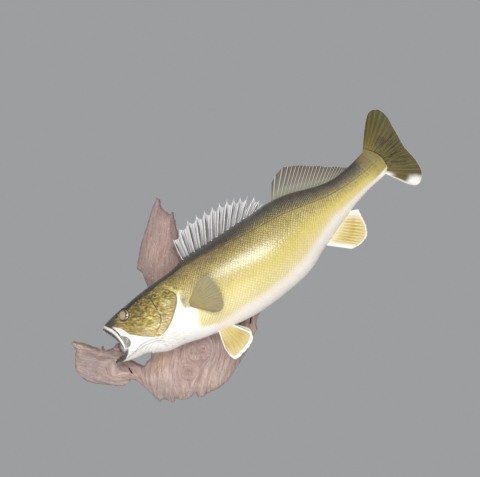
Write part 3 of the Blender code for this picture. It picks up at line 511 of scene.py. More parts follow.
shoulder_field[on_head] = (
    ramped(s, 0.172, 0.177) * ramped(s, 0.193, 0.183) * ramped(h, -0.016, -0.008) * ramped(h, 0.034, 0.018)
)
lining_field = np.zeros((ROWS, COLUMNS))
lining_field[:LINING_COUNT] = 1.0
lining_field[LINING_COUNT:LINING_COUNT + LIP_ROWS] = np.linspace(0.9, 0.0, LIP_ROWS)[:, None]
skin_fields = {
    "tone": over_all(tone_at(stations, heights), 0.1),
    "lateral": over_all((heights - LATERAL_LINE(stations)) * 100, 9.0),
    "along": over_all(stations * 10, 0.0),
    "pale": over_all(pale_field * 100, 2.0),
    "cover": over_all(cover_field * 100, 5.0),
    "face": over_all(face_field, 1.0),
    "plate_crease": crease_field("preopercle"),
    "arc_crease": crease_field("arc"),
    "cheek_crease": crease_field("cheek"),
    "jaw_crease": crease_field("jaw"),
    "throat_crease": crease_field("throat"),
    "grey": over_all(grey_field, 0.0),
    "white_lip": over_all(white_lip, 1.0),
    "lining": lining_field,
    "inner_lip_shade": inner_lip_shade_field,
    "snout": over_all(snout_field, 0.0),
    "crown": over_all(crown_field, 0.0),
    "shoulder": over_all(shoulder_field, 0.0),
    "to_tail": over_all(tail_field, 60.0),
}


def new_piece(name, points, faces, material, **fields):
    """A smooth piece on the fish's body, with a number at each point for every named field."""
    mesh = bpy.data.meshes.new(name)
    mesh.from_pydata(np.asarray(points).reshape(-1, 3).tolist(), [], faces)
    mesh.shade_smooth()
    for field, values in fields.items():
        layer = mesh.attributes.new(field, "FLOAT", "POINT")
        layer.data.foreach_set("value", np.asarray(values, dtype=np.float32).ravel())
    mesh.materials.append(material)
    piece = bpy.data.objects.new(name, mesh)
    bpy.context.scene.collection.objects.link(piece)
    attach(piece, "root")
    return piece


def lay_map(piece, across, along):
    """The map for baking, from one pair of numbers for each corner of the faces."""
    layer = piece.data.uv_layers.new(name="OFBake")
    layer.data.foreach_set("uv", np.stack((across, along), axis=-1).astype(np.float32).ravel())


class Paint:
    """A material's nodes, made one after another."""

    def __init__(self, name, roughness, coat=0.0, coat_roughness=0.1):
        self.material = bpy.data.materials.new(name)
        self.material.use_nodes = True
        self.tree = self.material.node_tree
        self.shader = self.tree.nodes["Principled BSDF"]
        self.shader.inputs["Roughness"].default_value = roughness
        self.shader.inputs["Coat Weight"].default_value = coat
        self.shader.inputs["Coat Roughness"].default_value = coat_roughness

    def node(self, kind, output=0, settings=(), **inputs):
        made = self.tree.nodes.new(kind)
        for key, value in settings:
            setattr(made, key, value)
        for key, value in inputs.items():
            socket = made.inputs[int(key[1:])] if key[0] == "n" and key[1:].isdigit() else made.inputs[key]
            if isinstance(value, bpy.types.NodeSocket):
                self.tree.links.new(value, socket)
            else:
                socket.default_value = value
        return made.outputs[output]

    def field(self, name):
        return self.node("ShaderNodeAttribute", 2, (("attribute_name", name),))

    def place(self):
        return self.node("ShaderNodeTexCoord", 3)

    def sum(self, operation, a, b=0.0, c=0.0, clamp=False):
        return self.node("ShaderNodeMath", 0, (("operation", operation), ("use_clamp", clamp)), n0=a, n1=b, n2=c)

    def times(self, a, b):
        return self.sum("MULTIPLY", a, b)

    def step(self, value, start, end):
        """0 at the start and 1 at the end, smooth between."""
        rising = start < end
        low, high = (start, end) if rising else (end, start)
        first, last = (0.0, 1.0) if rising else (1.0, 0.0)
        smooth = (("interpolation_type", "SMOOTHSTEP"),)
        return self.node("ShaderNodeMapRange", 0, smooth, n0=value, n1=low, n2=high, n3=first, n4=last)

    def noise(self, vector, scale, detail=3.0, roughness=0.55, distortion=0.0):
        return self.node(
            "ShaderNodeTexNoise", 0, (), Vector=vector, Scale=scale, Detail=detail, Roughness=roughness,
            Distortion=distortion,
        )

    def turned(self, vector, degrees, stretch):
        """Places turned in the plane of the wall and drawn out along the turned level."""
        return self.node(
            "ShaderNodeMapping", 0, (), Vector=vector, Rotation=(0.0, math.radians(degrees), 0.0),
            Scale=(1 / stretch, 1.0, 1.0),
        )

    def ramp(self, value, *stops):
        made = self.tree.nodes.new("ShaderNodeValToRGB")
        while len(made.color_ramp.elements) < len(stops):
            made.color_ramp.elements.new(0.5)
        for element, (place, shade) in zip(made.color_ramp.elements, stops):
            element.position = place
            element.color = (*shade, 1.0)
        self.tree.links.new(value, made.inputs[0])
        return made.outputs[0]

    def mix(self, share, a, b, blend="MIX"):
        made = self.tree.nodes.new("ShaderNodeMix")
        made.data_type = "RGBA"
        made.blend_type = blend
        for key, value in ((0, share), (6, a), (7, b)):
            if isinstance(value, bpy.types.NodeSocket):
                self.tree.links.new(value, made.inputs[key])
            else:
                made.inputs[key].default_value = value if key == 0 else (*value, 1.0)
        return made.outputs[2]

    def finish(self, colour, rough=None, height=None, strength=0.3, depth=0.001):
        self.tree.links.new(colour, self.shader.inputs["Base Color"])
        if rough is not None:
            self.tree.links.new(rough, self.shader.inputs["Roughness"])
        if height is not None:
            bump = self.node("ShaderNodeBump", 0, (), Strength=strength, Distance=depth, Height=height)
            self.tree.links.new(bump, self.shader.inputs["Normal"])
            self.tree.links.new(bump, self.shader.inputs["Coat Normal"])
        return self.material


def shade(red, green, blue):
    """A paint colour, from its 0 to 255 mix."""
    mix = np.array((red, green, blue)) / 255
    return tuple(float(v) for v in np.where(mix <= 0.04045, mix / 12.92, ((mix + 0.055) / 1.055) ** 2.4))


def paint_skin():
    """One finish for the skin and its scales. A scale's rim field runs from its root to its edge."""
    paint = Paint("painted_skin", 0.36, coat=0.85, coat_roughness=0.17)
    place = paint.place()
    tone, lateral, pale = paint.field("tone"), paint.field("lateral"), paint.field("pale")
    cover, face, rim = paint.field("cover"), paint.field("face"), paint.field("rim")
    soft = paint.noise(place, 22.0)
    mottle = paint.noise(place, 170.0, detail=3.0)
    fine = paint.noise(place, 320.0, detail=4.0, roughness=0.65)
    wobble = paint.sum("MULTIPLY_ADD", soft, 0.10, -0.05)
    flank = paint.ramp(
        paint.sum("ADD", tone, wobble),
        (0.00, shade(250, 243, 235)), (0.17, shade(251, 243, 234)), (0.25, shade(248, 234, 208)),
        (
            0.32, shade(240, 224, 160)
        ), (0.42, shade(232, 214, 124)), (0.52, shade(226, 207, 116)), (0.62, shade(208, 189, 108)),
        (0.67, shade(146, 132, 88)), (0.71, shade(96, 88, 72)), (0.78, shade(86, 79, 70)),
        (0.88, shade(72, 65, 60)), (1.00, shade(42, 38, 37)),
    )
    # towards the tail the back is painted a lighter olive: partly the fish's own colour, partly a painted sheen where
    # the lamp's highlight lies on the back from the middle of the body on
    rear = paint.ramp(
        paint.sum("ADD", tone, wobble),
        (
            0.40, shade(234, 218, 130)
        ), (0.47, shade(228, 211, 112)), (0.55, shade(222, 205, 112)), (0.62, shade(216, 199, 116)),
        (
            0.67, shade(206, 190, 116)
        ), (0.72, shade(184, 170, 106)), (0.77, shade(170, 158, 108)), (0.83, shade(144, 135, 104)),
        (0.90, shade(106, 99, 86)), (1.00, shade(52, 48, 43)),
    )
    rearward = paint.step(paint.field("along"), 2.9, 4.1)
    flank = paint.mix(paint.times(rearward, paint.step(tone, 0.38, 0.48)), flank, rear)
    # fine dark flecks over the upper flank, and the darker edge of each scale there
    flecks = paint.step(fine, 0.48, 0.62)
    upper = paint.step(tone, 0.40, 0.64)
    back = paint.step(tone, 0.70, 0.76)
    flank = paint.mix(
        paint.times(flecks, paint.sum("MULTIPLY_ADD", upper, 0.34, 0.06)), flank, shade(84, 68, 36)
    )
    rim_share = paint.times(paint.step(rim, 0.30, 0.95), paint.sum("MULTIPLY_ADD", upper, 0.66, 0.28))
    rim_share = paint.times(rim_share, paint.step(tone, 0.18, 0.34))
    edge_colour = paint.mix(back, shade(112, 88, 36), shade(30, 26, 22))
    flank = paint.mix(rim_share, flank, edge_colour)
    # painted highlight: a pale glint painted on the middle of each scale, broken up by fine noise
    scale_glint = paint.times(paint.step(rim, 0.40, 0.0), paint.sum("MULTIPLY_ADD", upper, 0.42, 0.12))
    scale_glint = paint.times(scale_glint, paint.sum("SUBTRACT", 1.0, paint.step(rim, 0.0, -0.01)))
    flank = paint.mix(
        paint.times(scale_glint, paint.step(fine, 0.30, 0.55)), flank,
        paint.mix(back, shade(250, 236, 160), shade(168, 158, 134)),
    )
    # painted glints and dimming: each scale painted a little lighter or darker at random, standing in for each scale
    # catching the light differently
    lot = paint.times(paint.field("lot"), paint.sum("MULTIPLY_ADD", upper, 0.06, 0.06))
    flank = paint.mix(
        paint.sum("MAXIMUM", lot, 0.0), flank, paint.mix(back, shade(252, 240, 176), shade(150, 140, 122))
    )
    darker = paint.sum("MAXIMUM", paint.times(lot, -1.0), 0.0)
    darker = paint.times(darker, paint.step(tone, 0.26, 0.40))
    flank = paint.mix(darker, flank, paint.mix(back, shade(108, 88, 34), shade(34, 30, 27)))
    line = paint.sum(
        "MULTIPLY", paint.step(paint.sum("ABSOLUTE", lateral), 0.10, 0.03), paint.step(cover, -0.2, -0.6)
    )
    flank = paint.mix(paint.times(line, 0.75), flank, shade(58, 48, 30))

    # the skin's last scales take the tail fin's olive, and a brown line marks where the rays come out
    end = paint.sum("ADD", paint.field("to_tail"), paint.sum("MULTIPLY_ADD", mottle, 1.6, -0.80))
    olive_end = paint.times(paint.step(end, 4.6, 0.4), paint.step(tone, 0.20, 0.34))
    flank = paint.mix(paint.times(olive_end, 0.80), flank, shade(146, 129, 68))
    grey_end = paint.times(paint.step(end, 1.2, 0.2), paint.step(tone, 0.34, 0.20))
    flank = paint.mix(paint.times(grey_end, 0.55), flank, shade(178, 168, 148))
    flank = paint.mix(paint.times(paint.step(end, 0.50, -0.30), 0.80), flank, shade(84, 66, 34))

    # the head's olive ground, its golden cheek and the dark strokes and worm-like veins over both
    drawn = paint.turned(place, 42.0, 2.6)
    ground = paint.noise(drawn, 330.0, detail=3.0, roughness=0.6)
    gold = paint.ramp(
        ground, (0.30, shade(124, 100, 38)), (0.46, shade(180, 155, 72)), (
            0.58, shade(212, 190, 104)
        ), (0.68, shade(242, 230, 172)),
    )
    olive = paint.ramp(
        ground, (0.32, shade(50, 43, 20)), (0.46, shade(118, 103, 42)), (0.58, shade(166, 149, 64)), (
            0.70, shade(222, 208, 134)
        ),
    )
    high = paint.step(paint.sum("ADD", tone, paint.sum("MULTIPLY_ADD", soft, 0.4, -0.20)), 0.46, 0.72)
    head = paint.mix(high, gold, olive)
    strokes = paint.noise(paint.turned(place, 42.0, 3.4), 290.0, detail=2.0, distortion=0.5)
    worms = paint.sum("ABSOLUTE", paint.sum("SUBTRACT", paint.noise(place, 130.0, detail=2.0, distortion=1.4), 0.5))
    dark = paint.sum(
        "MAXIMUM", paint.step(strokes, 0.53, 0.60), paint.times(paint.step(worms, 0.040, 0.010), 0.7)
    )
    dark = paint.times(dark, paint.sum("MULTIPLY_ADD", high, 0.60, 0.16))
    head = paint.mix(paint.times(dark, paint.step(soft, 0.26, 0.46)), head, shade(32, 27, 15))
    behind_eye = paint.times(paint.step(tone, 0.80, 0.95), 0.85)
    head = paint.mix(behind_eye, head, shade(46, 41, 34))
    by_mouth = paint.times(paint.step(paint.field("along"), 1.10, 0.60), 0.42)
    head = paint.mix(by_mouth, head, shade(104, 84, 36))
    body = paint.mix(face, flank, head)
    crown = paint.step(
        paint.sum("ADD", paint.field("crown"), paint.sum("MULTIPLY_ADD", mottle, 0.9, -0.45)), 0.30, 0.62
    )
    body = paint.mix(
        paint.times(crown, 0.92), body,
        paint.ramp(fine, (0.4, shade(30, 26, 25)), (0.7, shade(66, 58, 52))),
    )
    forehead = paint.times(crown, paint.step(paint.field("along"), 1.10, 0.70))
    body = paint.mix(paint.times(forehead, 0.75), body, shade(14, 12, 12))

    # the brown skin along the gill cover's hind edge, and the blue-grey skin between it and the fin
    brown = paint.times(paint.step(cover, 0.55, 0.10), paint.step(cover, -0.02, 0.03))
    brown = paint.sum(
        "MULTIPLY", brown, paint.times(paint.step(tone, 0.75, 0.60), paint.step(mottle, 0.30, 0.52))
    )
    body = paint.mix(paint.times(brown, 0.62), body, shade(158, 122, 104))
    body = paint.mix(
        paint.sum(
            "MULTIPLY", paint.field("shoulder"),
            paint.sum("MULTIPLY_ADD", paint.step(mottle, 0.36, 0.60), 0.4, 0.4),
        ),
        body, shade(134, 124, 106),
    )

    # white throat, cheek and belly
    white = paint.ramp(paint.noise(place, 40.0), (0.3, shade(244, 239, 232)), (0.7, shade(252, 249, 245)))
    blurred = paint.sum("ADD", pale, paint.sum("MULTIPLY_ADD", fine, 0.12, -0.06))
    hard = paint.step(blurred, -0.06, 0.06)
    loose = paint.step(blurred, -0.65, 0.25)
    behind = paint.step(cover, -1.4, -2.2)
    pale_share = paint.sum(
        "ADD", paint.times(hard, paint.sum("SUBTRACT", 1.0, behind)),
        paint.times(loose, behind),
    )
    body = paint.mix(pale_share, body, white)
    throat_part = paint.times(paint.step(tone, 0.46, 0.34), paint.step(paint.field("along"), 1.75, 1.35))
    throat_part = paint.times(throat_part, paint.step(paint.field("along"), 0.22, 0.45))
    jaw_lines = paint.noise(paint.turned(place, 40.0, 16.0), 460.0, detail=2.0)
    fan_lines = paint.noise(paint.turned(place, 3.0, 18.0), 440.0, detail=2.0)
    lines = paint.sum(
        "MAXIMUM",
        paint.times(paint.step(jaw_lines, 0.52, 0.62), paint.step(paint.field("along"), 0.85, 0.60)),
        paint.times(paint.step(fan_lines, 0.52, 0.62), paint.step(paint.field("along"), 0.62, 0.90)),
    )
    body = paint.mix(
        paint.times(paint.times(lines, throat_part), 0.40), body, shade(190, 168, 154)
    )
    body = paint.mix(paint.field("white_lip"), body, white)

    # painted shade along the creases, the grey strap and paddle of the jaw, the snout, painted shade inside the lips,
    # and the chin
    for name, width, share in (
        (
            "plate_crease", 1.7, 0.95
        ), ("arc_crease", 2.6, 0.62), ("cheek_crease", 1.0, 0.8), ("jaw_crease", 1.4, 0.50),
        ("throat_crease", 1.2, 0.42),
    ):
        crease = paint.step(paint.sum("ABSOLUTE", paint.field(name)), width, 0.2)
        gaps = (0.44, 0.60) if name == "arc_crease" else (0.28, 0.42)
        broken = paint.times(crease, paint.step(mottle, *gaps))
        broken = paint.times(broken, paint.step(paint.field("crown"), 0.5, 0.1))
        if name == "plate_crease":
            broken = paint.sum(
                "MULTIPLY", broken, paint.sum("MULTIPLY_ADD", paint.step(tone, 0.40, 0.49), 0.80, 0.20)
            )
        # each crease is darkened along its line: painted shade
        body = paint.mix(paint.times(broken, share), body, shade(40, 34, 26))
    grey = paint.ramp(
        paint.noise(place, 230.0, detail=3.0),
        (0.35, shade(62, 58, 50)), (0.52, shade(106, 101, 84)), (0.70, shade(182, 176, 154)),
    )
    body = paint.mix(paint.field("grey"), body, grey)
    body = paint.mix(paint.times(paint.field("snout"), 0.75), body, shade(62, 55, 50))
    inside = paint.ramp(paint.noise(place, 60.0), (0.3, shade(166, 142, 134)), (0.7, shade(206, 188, 178)))
    body = paint.mix(paint.field("lining"), body, inside)
    # the dark band inside the lips is painted shade
    body = paint.mix(paint.field("inner_lip_shade"), body, shade(58, 52, 50))
    rough = paint.sum("MULTIPLY_ADD", paint.field("lot"), 0.06, paint.sum("MULTIPLY_ADD", fine, 0.22, 0.26))
    dome = paint.sum(
        "MULTIPLY_ADD", paint.sum("POWER", rim, 1.5), -1.0,
        paint.times(paint.noise(place, 520.0, detail=2.0), 0.35),
    )
    return paint.finish(body, rough, dome, strength=0.50, depth=0.0009)


painted_skin = paint_skin()


def grid_faces(rows, columns, closed=True):
    """Quads over a grid, whose last column joins the first where it is closed."""
    i, j = np.meshgrid(np.arange(rows - 1), np.arange(columns if closed else columns - 1), indexing="ij")
    k = (j + 1) % columns
    return np.stack(
        (i * columns + j, i * columns + k, (i + 1) * columns + k, (i + 1) * columns + j), axis=-1
    ).reshape(-1, 4)


row_lengths = np.linalg.norm(np.diff(all_points, axis=0), axis=-1).mean(axis=1)
row_places = np.concatenate(([0.0], np.cumsum(row_lengths)))
row_places = 0.01 + 0.98 * row_places / row_places[-1]
quads = grid_faces(ROWS, COLUMNS)
throat, tail_stub = all_points[0].mean(axis=0), all_points[-1].mean(axis=0)
skin_faces = quads.tolist()
skin_faces += [((j + 1) % COLUMNS, j, ROWS * COLUMNS) for j in range(COLUMNS)]
last = (ROWS - 1) * COLUMNS
skin_faces += [(last + j, last + (j + 1) % COLUMNS, ROWS * COLUMNS + 1) for j in range(COLUMNS)]
skin = new_piece(
    "skin", np.concatenate((all_points.reshape(-1, 3), (throat, tail_stub))), skin_faces, painted_skin,
    **{name: np.append(values.ravel(), (values[0, 0], values[-1, 0])) for name, values in skin_fields.items()},
)
i, j = np.meshgrid(np.arange(ROWS - 1), np.arange(COLUMNS), indexing="ij")
map_along = np.stack((row_places[i], row_places[i], row_places[i + 1], row_places[i + 1]), axis=-1).ravel()
map_across = np.stack((j, j + 1, j + 1, j), axis=-1).ravel() / COLUMNS
cap = np.arange(COLUMNS)
cap_across = np.concatenate((
    np.stack((cap + 1, cap, cap + 0.5), axis=-1).ravel(), np.stack((cap, cap + 1, cap + 0.5), axis=-1).ravel()
)) / COLUMNS
cap_along = np.concatenate((np.tile((0.01, 0.01, 0.001), COLUMNS), np.tile((0.99, 0.99, 0.999), COLUMNS)))
lay_map(skin, np.append(map_across, cap_across), np.append(map_along, cap_along))
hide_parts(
    "head", "lower_jaw", "maxilla_left", "maxilla_right", "gill_cover_left", "gill_cover_right",
    "trunk_front", "trunk_rear", "tail",
)

# ==== The scales
# Thin overlapping scales in staggered rows from the gill opening to the tail, each rooted in the skin
# and lifted a little at its rounded edge. They are smallest towards the tail, the back and the belly.

SCALE_ROWS = 140
SCALE_PITCH = smooth_table(
    (
        (0.110, 0.0044), (0.165, 0.0056), (0.220, 0.0066), (0.300, 0.0068), (0.450, 0.0063), (0.550, 0.0050),
        (0.660, 0.0035),
    )
)
# one scale: across (shares of a row), along (shares of the pitch), lift in metres, place on the rim
SCALE_TOP = np.array((
    (
        -0.60, -0.25, -0.00018, 0.0
    ), (0.60, -0.25, -0.00018, 0.0), (1.12, 0.40, 0.00002, 0.55), (0.96, 0.82, 0.00018, 1.0),
    (0.52, 1.10, 0.00034, 1.0), (0.0, 1.20, 0.00040, 1.0), (-0.52, 1.10, 0.00034, 1.0), (-0.96, 0.82, 0.00018, 1.0),
    (-1.12, 0.40, 0.00002, 0.55), (0.0, 0.50, 0.00036, 0.15),
))
SCALE_EDGE = tuple(range(9))
SCALE_FACES = [(9, a, (a + 1) % 9) for a in SCALE_EDGE]
SCALE_UNDER = [(0, b, a) for a, b in zip(SCALE_EDGE[1:], SCALE_EDGE[2:])]


def grid_sampler(values):
    """Reads a grid of the outer skin at any distance behind the rim and angle."""
    def read(distance, angle):
        row = np.interp(distance, outer_rows, np.arange(len(outer_rows)))
        column = (angle / (2 * math.pi) * COLUMNS - 0.5) % COLUMNS
        i = np.minimum(row.astype(int), len(outer_rows) - 2)
        j = column.astype(int) % COLUMNS
        u, v = row - i, column - np.floor(column)
        if values.ndim == 3:
            u, v = u[..., None], v[..., None]
        k = (j + 1) % COLUMNS
        return (
            values[i, j] * (1 - u) * (1 - v) + values[i, k] * (1 - u) * v
            + values[i + 1, j] * u * (1 - v) + values[i + 1, k] * u * v
        )
    return read


skin_normals = grid_normals(skin_points)
read_points, read_normals = grid_sampler(skin_points), grid_sampler(skin_normals)
read_fields = {
    name: grid_sampler(
        values[ROWS - len(outer_rows):]
    ) for name, values in skin_fields.items() if name not in ("lining", "inner_lip_shade")
}


def lay_scales(name, low, high, seed):
    """One piece of the coat: all scales whose rows lie between two angles round the body."""
    luck = np.random.default_rng(seed)
    distances = [0.112]
    while distances[-1] < 0.662:
        distances.append(distances[-1] + float(SCALE_PITCH(distances[-1])))
    distances = np.array(distances)
    rows = np.arange(SCALE_ROWS)
    rows = rows[(rows + 0.5) / SCALE_ROWS * 360 % 360 >= low]
    rows = rows[(rows + 0.5) / SCALE_ROWS * 360 % 360 < high]
    row_grid, column_grid = np.meshgrid(rows, np.arange(len(distances)), indexing="ij")
    pitch = SCALE_PITCH(distances)[column_grid]
    root_distance = distances[column_grid] + pitch * 0.5 * (row_grid % 2)
    root_angle = 2 * math.pi * (row_grid + 0.5) / SCALE_ROWS
    root_distance, root_angle, pitch = root_distance.ravel(), root_angle.ravel(), pitch.ravel()
    pale_here = read_fields["pale"](root_distance, root_angle)
    cover_here = read_fields["cover"](root_distance, root_angle)
    station, height, _ = skin_place(root_distance, root_angle)
    keep = (cover_here < -0.42) & (root_distance < 0.659)
    keep &= (pale_here < -0.22) | (root_distance > 0.197)
    keep &= np.hypot((station - 0.181) / 0.007, (height + 0.002) / 0.014) > 1.0
    root_distance, root_angle, pitch = root_distance[keep], root_angle[keep], pitch[keep]
    count = len(root_distance)
    half = math.pi * 2 / SCALE_ROWS
    vary = 1 + 0.07 * luck.standard_normal((count, 3))
    tip, lean = 0.00007 * luck.standard_normal((2, count, 1))
    across = root_angle[:, None] + SCALE_TOP[None, :, 0] * half * vary[:, :1]
    along = root_distance[:, None] + SCALE_TOP[None, :, 1] * pitch[:, None] * vary[:, 1:2]
    size = np.clip(pitch / 0.0066, 0.5, 1.1)[:, None]
    lift = SCALE_TOP[None, :, 2] * size * vary[:, 2:3]
    lift = np.minimum(lift + tip * SCALE_TOP[None, :, 1] + lean * SCALE_TOP[None, :, 0], COAT_DEPTH)
    top = read_points(along, across) + read_normals(along, across) * lift[..., None]
    edge = list(SCALE_EDGE)
    under = read_points(along[:, edge], across[:, edge]) - read_normals(along[:, edge], across[:, edge]) * 0.00028
    points = np.concatenate((top, under), axis=1)
    top_count, point_count = len(SCALE_TOP), len(SCALE_TOP) + len(SCALE_EDGE)
    faces = list(SCALE_FACES) + [tuple(corner + top_count for corner in face) for face in SCALE_UNDER]
    for a, b in zip(SCALE_EDGE, SCALE_EDGE[1:] + SCALE_EDGE[:1]):
        faces += [(b, a, a + top_count), (b, a + top_count, b + top_count)]
    faces = np.array(faces)
    all_faces = (np.arange(count)[:, None, None] * point_count + faces[None]).reshape(-1, 3)
    all_along = np.concatenate((along, along[:, edge]), axis=1)
    all_across = np.concatenate((across, across[:, edge]), axis=1)
    fields = {key: read(all_along, all_across) for key, read in read_fields.items()}
    fields["rim"] = np.tile(np.concatenate((SCALE_TOP[:, 3], SCALE_TOP[edge, 3])), count)
    fields["lot"] = np.repeat(luck.uniform(-1, 1, count), point_count)
    piece = new_piece(name, points, all_faces.tolist(), painted_skin, **fields)
    piece.data.set_sharp_from_angle(angle=math.radians(38))
    spot_across = root_angle / (2 * math.pi)
    spot_along = np.interp(root_distance, outer_rows, row_places[ROWS - len(outer_rows):])
    local = np.concatenate((SCALE_TOP[:, :2], SCALE_TOP[edge, :2])) * (0.0012, 0.0012)
    map_points = np.stack((spot_across, spot_along), axis=-1)[:, None] + local[None]
    corners = map_points.reshape(-1, 2)[all_faces.ravel()]
    lay_map(piece, corners[:, 0], corners[:, 1])
    return piece


for number, name in enumerate(
    ("left_flank", "left_back", "right_back", "right_flank", "right_belly", "left_belly")
):
    lay_scales(f"scales_{name}", 60 * number, 60 * number + 60, 11 + number)

# ==== The eyes
# Glass eyes set in clay: a pale milky pupil, a ring of olive brown, a pale crescent towards the tail that is a painted
# highlight, a dark rim and a clear gloss.

EYE_RINGS, EYE_COLUMNS = 22, 48


def paint_eye():
    paint = Paint("glass_eye", 0.08, coat=1.0, coat_roughness=0.02)
    place = paint.place()
    off = paint.field("pupil_off")
    rim = paint.field("eye_rim")
    haze = paint.noise(place, 420.0, detail=3.0)
    off = paint.sum("ADD", off, paint.sum("MULTIPLY_ADD", haze, 0.08, -0.04))
    # past the brown ring the colour runs out to near white: a painted highlight, a pale crescent on the eye's rear side
    pupil = paint.ramp(
        off,
        (
            0.00, shade(178, 152, 126)
        ), (0.36, shade(186, 162, 134)), (0.52, shade(150, 122, 92)), (0.60, shade(64, 48, 34)),
        (0.68, shade(96, 78, 52)), (0.80, shade(176, 162, 134)), (0.92, shade(240, 235, 224)),
    )
    edge = paint.step(rim, 0.80, 0.95)
    colour = paint.mix(edge, pupil, shade(30, 26, 22))
    return paint.finish(colour)


glass_eye = paint_eye()
for word, sign in (("left", 1), ("right", -1)):
    centre, look = eye_seats[word]
    turn = Vector(look).to_track_quat("Z", "Y").to_matrix()
    polar = np.pi * (np.arange(EYE_RINGS) + 0.5) / EYE_RINGS
    turns = 2 * np.pi * np.arange(EYE_COLUMNS) / EYE_COLUMNS
    polar_grid, turn_grid = np.meshgrid(polar, turns, indexing="ij")
    ball = np.stack((
        EYE_RADIUS * np.sin(polar_grid) * np.cos(turn_grid), EYE_RADIUS * np.sin(polar_grid) * np.sin(turn_grid),
        EYE_HALF_THICKNESS * np.cos(polar_grid),
    ), axis=-1)
    ball = np.concatenate((ball.reshape(-1, 3), ((0, 0, EYE_HALF_THICKNESS), (0, 0, -EYE_HALF_THICKNESS))))
    faces = grid_faces(EYE_RINGS, EYE_COLUMNS).tolist()
    north, south = EYE_RINGS * EYE_COLUMNS, EYE_RINGS * EYE_COLUMNS + 1
    end = (EYE_RINGS - 1) * EYE_COLUMNS
    faces += [(north, (j + 1) % EYE_COLUMNS, j) for j in range(EYE_COLUMNS)]
    faces += [(south, end + j, end + (j + 1) % EYE_COLUMNS) for j in range(EYE_COLUMNS)]
    places = ball @ np.array(turn).T + centre
    snoutward = fish_direction(EYE_STATION, -0.9, 0.1, 0.0)
    pupil_centre = centre + look * EYE_HALF_THICKNESS + snoutward * 0.0022
    offsets = places - pupil_centre
    offsets -= (offsets @ look)[:, None] * look
    tall = fish_direction(EYE_STATION, 0.42, 1.0, 0.0)
    high = offsets @ tall
    wide = np.linalg.norm(offsets - high[:, None] * tall, axis=1)
    pupil_off = np.hypot(wide / 0.0150, high / 0.0175)
    pupil_off = np.where((places - centre) @ look > 0, pupil_off, 1.0)
    spread = places - centre
    spread -= (spread @ look)[:, None] * look
    eye_rim = np.where((places - centre) @ look > 0, np.linalg.norm(spread, axis=1) / EYE_RADIUS, 1.0)
    eye = new_piece(f"eye_glass_{word}", places, faces, glass_eye, pupil_off=pupil_off, eye_rim=eye_rim)
    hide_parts(f"eye_{word}")

# ==== The teeth
# Small conical teeth of bone colour along both jaws, with a few long canines at the front of each.


def paint_bone():
    paint = Paint("tooth_bone", 0.3, coat=0.4, coat_roughness=0.1)
    up = paint.field("to_tip")
    colour = paint.ramp(up, (0.0, shade(206, 188, 158)), (0.5, shade(236, 228, 208)), (1.0, shade(250, 247, 240)))
    colour = paint.mix(paint.times(paint.noise(paint.place(), 500.0), 0.25), colour, shade(214, 196, 166))
    return paint.finish(colour)


tooth_bone = paint_bone()


def tapered(points, radii, sides):
    """A closed tube along points with a radius at each; returns its points, faces and shares of length."""
    points, radii = np.asarray(points, dtype=float), np.asarray(radii, dtype=float)
    runs = np.gradient(points, axis=0)
    runs /= np.linalg.norm(runs, axis=1, keepdims=True)
    first = np.cross(runs, (0.31, 0.17, 0.93))
    first /= np.linalg.norm(first, axis=1, keepdims=True)
    second = np.cross(runs, first)
    turns = 2 * np.pi * np.arange(sides) / sides
    rings = points[:, None] + radii[:, None, None] * (
        first[:, None] * np.cos(turns)[None, :, None] + second[:, None] * np.sin(turns)[None, :, None]
    )
    count = len(points)
    faces = grid_faces(count, sides).tolist()
    faces += [tuple(range(sides))[::-1], tuple((count - 1) * sides + k for k in range(sides))]
    return rings.reshape(-1, 3), faces, np.repeat(np.linspace(0, 1, count), sides)


def join(parts):
    """Joins (points, faces, field) parts into one."""
    points, faces, fields, start = [], [], [], 0
    for part_points, part_faces, part_field in parts:
        points.append(part_points)
        faces += [tuple(corner + start for corner in face) for face in part_faces]
        fields.append(part_field)
        start += len(part_points)
    return np.concatenate(points), faces, np.concatenate(fields)


luck = np.random.default_rng(21)
for jaw, up, spots in (
    (
        "upper", -1,
        (
            (84, 1.5), (77, 0.65), (70, 0.8), (62, 0.5), (55, 0.65), (48, 0.45), (41, 0.6), (34, 0.4), (27, 0.5),
            (19, 0.4), (10, 0.35),
        ),
    ),
    ("lower", 1, ((-84, 0.9), (-76, 0.6), (-67, 0.85), (-58, 0.5), (-49, 0.6), (-40, 0.45), (-31, 0.4))),
):
    parts = []
    for degrees, size in spots:
        for mirrored in (degrees, 180 - degrees):
            angle = math.radians(mirrored + luck.normal(0, 1.2))
            outer = fish_point(*skin_place(0.0, angle))
            inner = fish_point(*mouth_place(0.001, angle))
            root = outer * 0.42 + inner * 0.58 + forward * 0.0006
            run = fish_direction(0.0, -0.20 + luck.normal(0, 0.06), up, 0.0)
            inward = inner - outer
            inward /= np.linalg.norm(inward)
            length = (0.0050 if jaw == "upper" else 0.0038) * size * (1 + 0.1 * luck.normal())
            share = np.linspace(0, 1, 7)[:, None]
            spine = root - run * 0.0016 + run * (length + 0.0016) * share + inward * 0.0012 * size * share**2
            radii = 0.0009 * size**0.7 * (1 - 0.90 * share[:, 0] ** 1.4)
            parts.append(tapered(spine, radii, 8))
    points, faces, to_tip = join(parts)
    teeth = new_piece(f"teeth_{jaw}", points, faces, tooth_bone, to_tip=to_tip)

# ==== The fins
# Real fins, dried spread: thin webs over rays that fork towards the edge, with spines in the first
# fin of the back. Each is rooted a little inside the skin, and is painted and lacquered.

FIN_EDGE = 0.0006


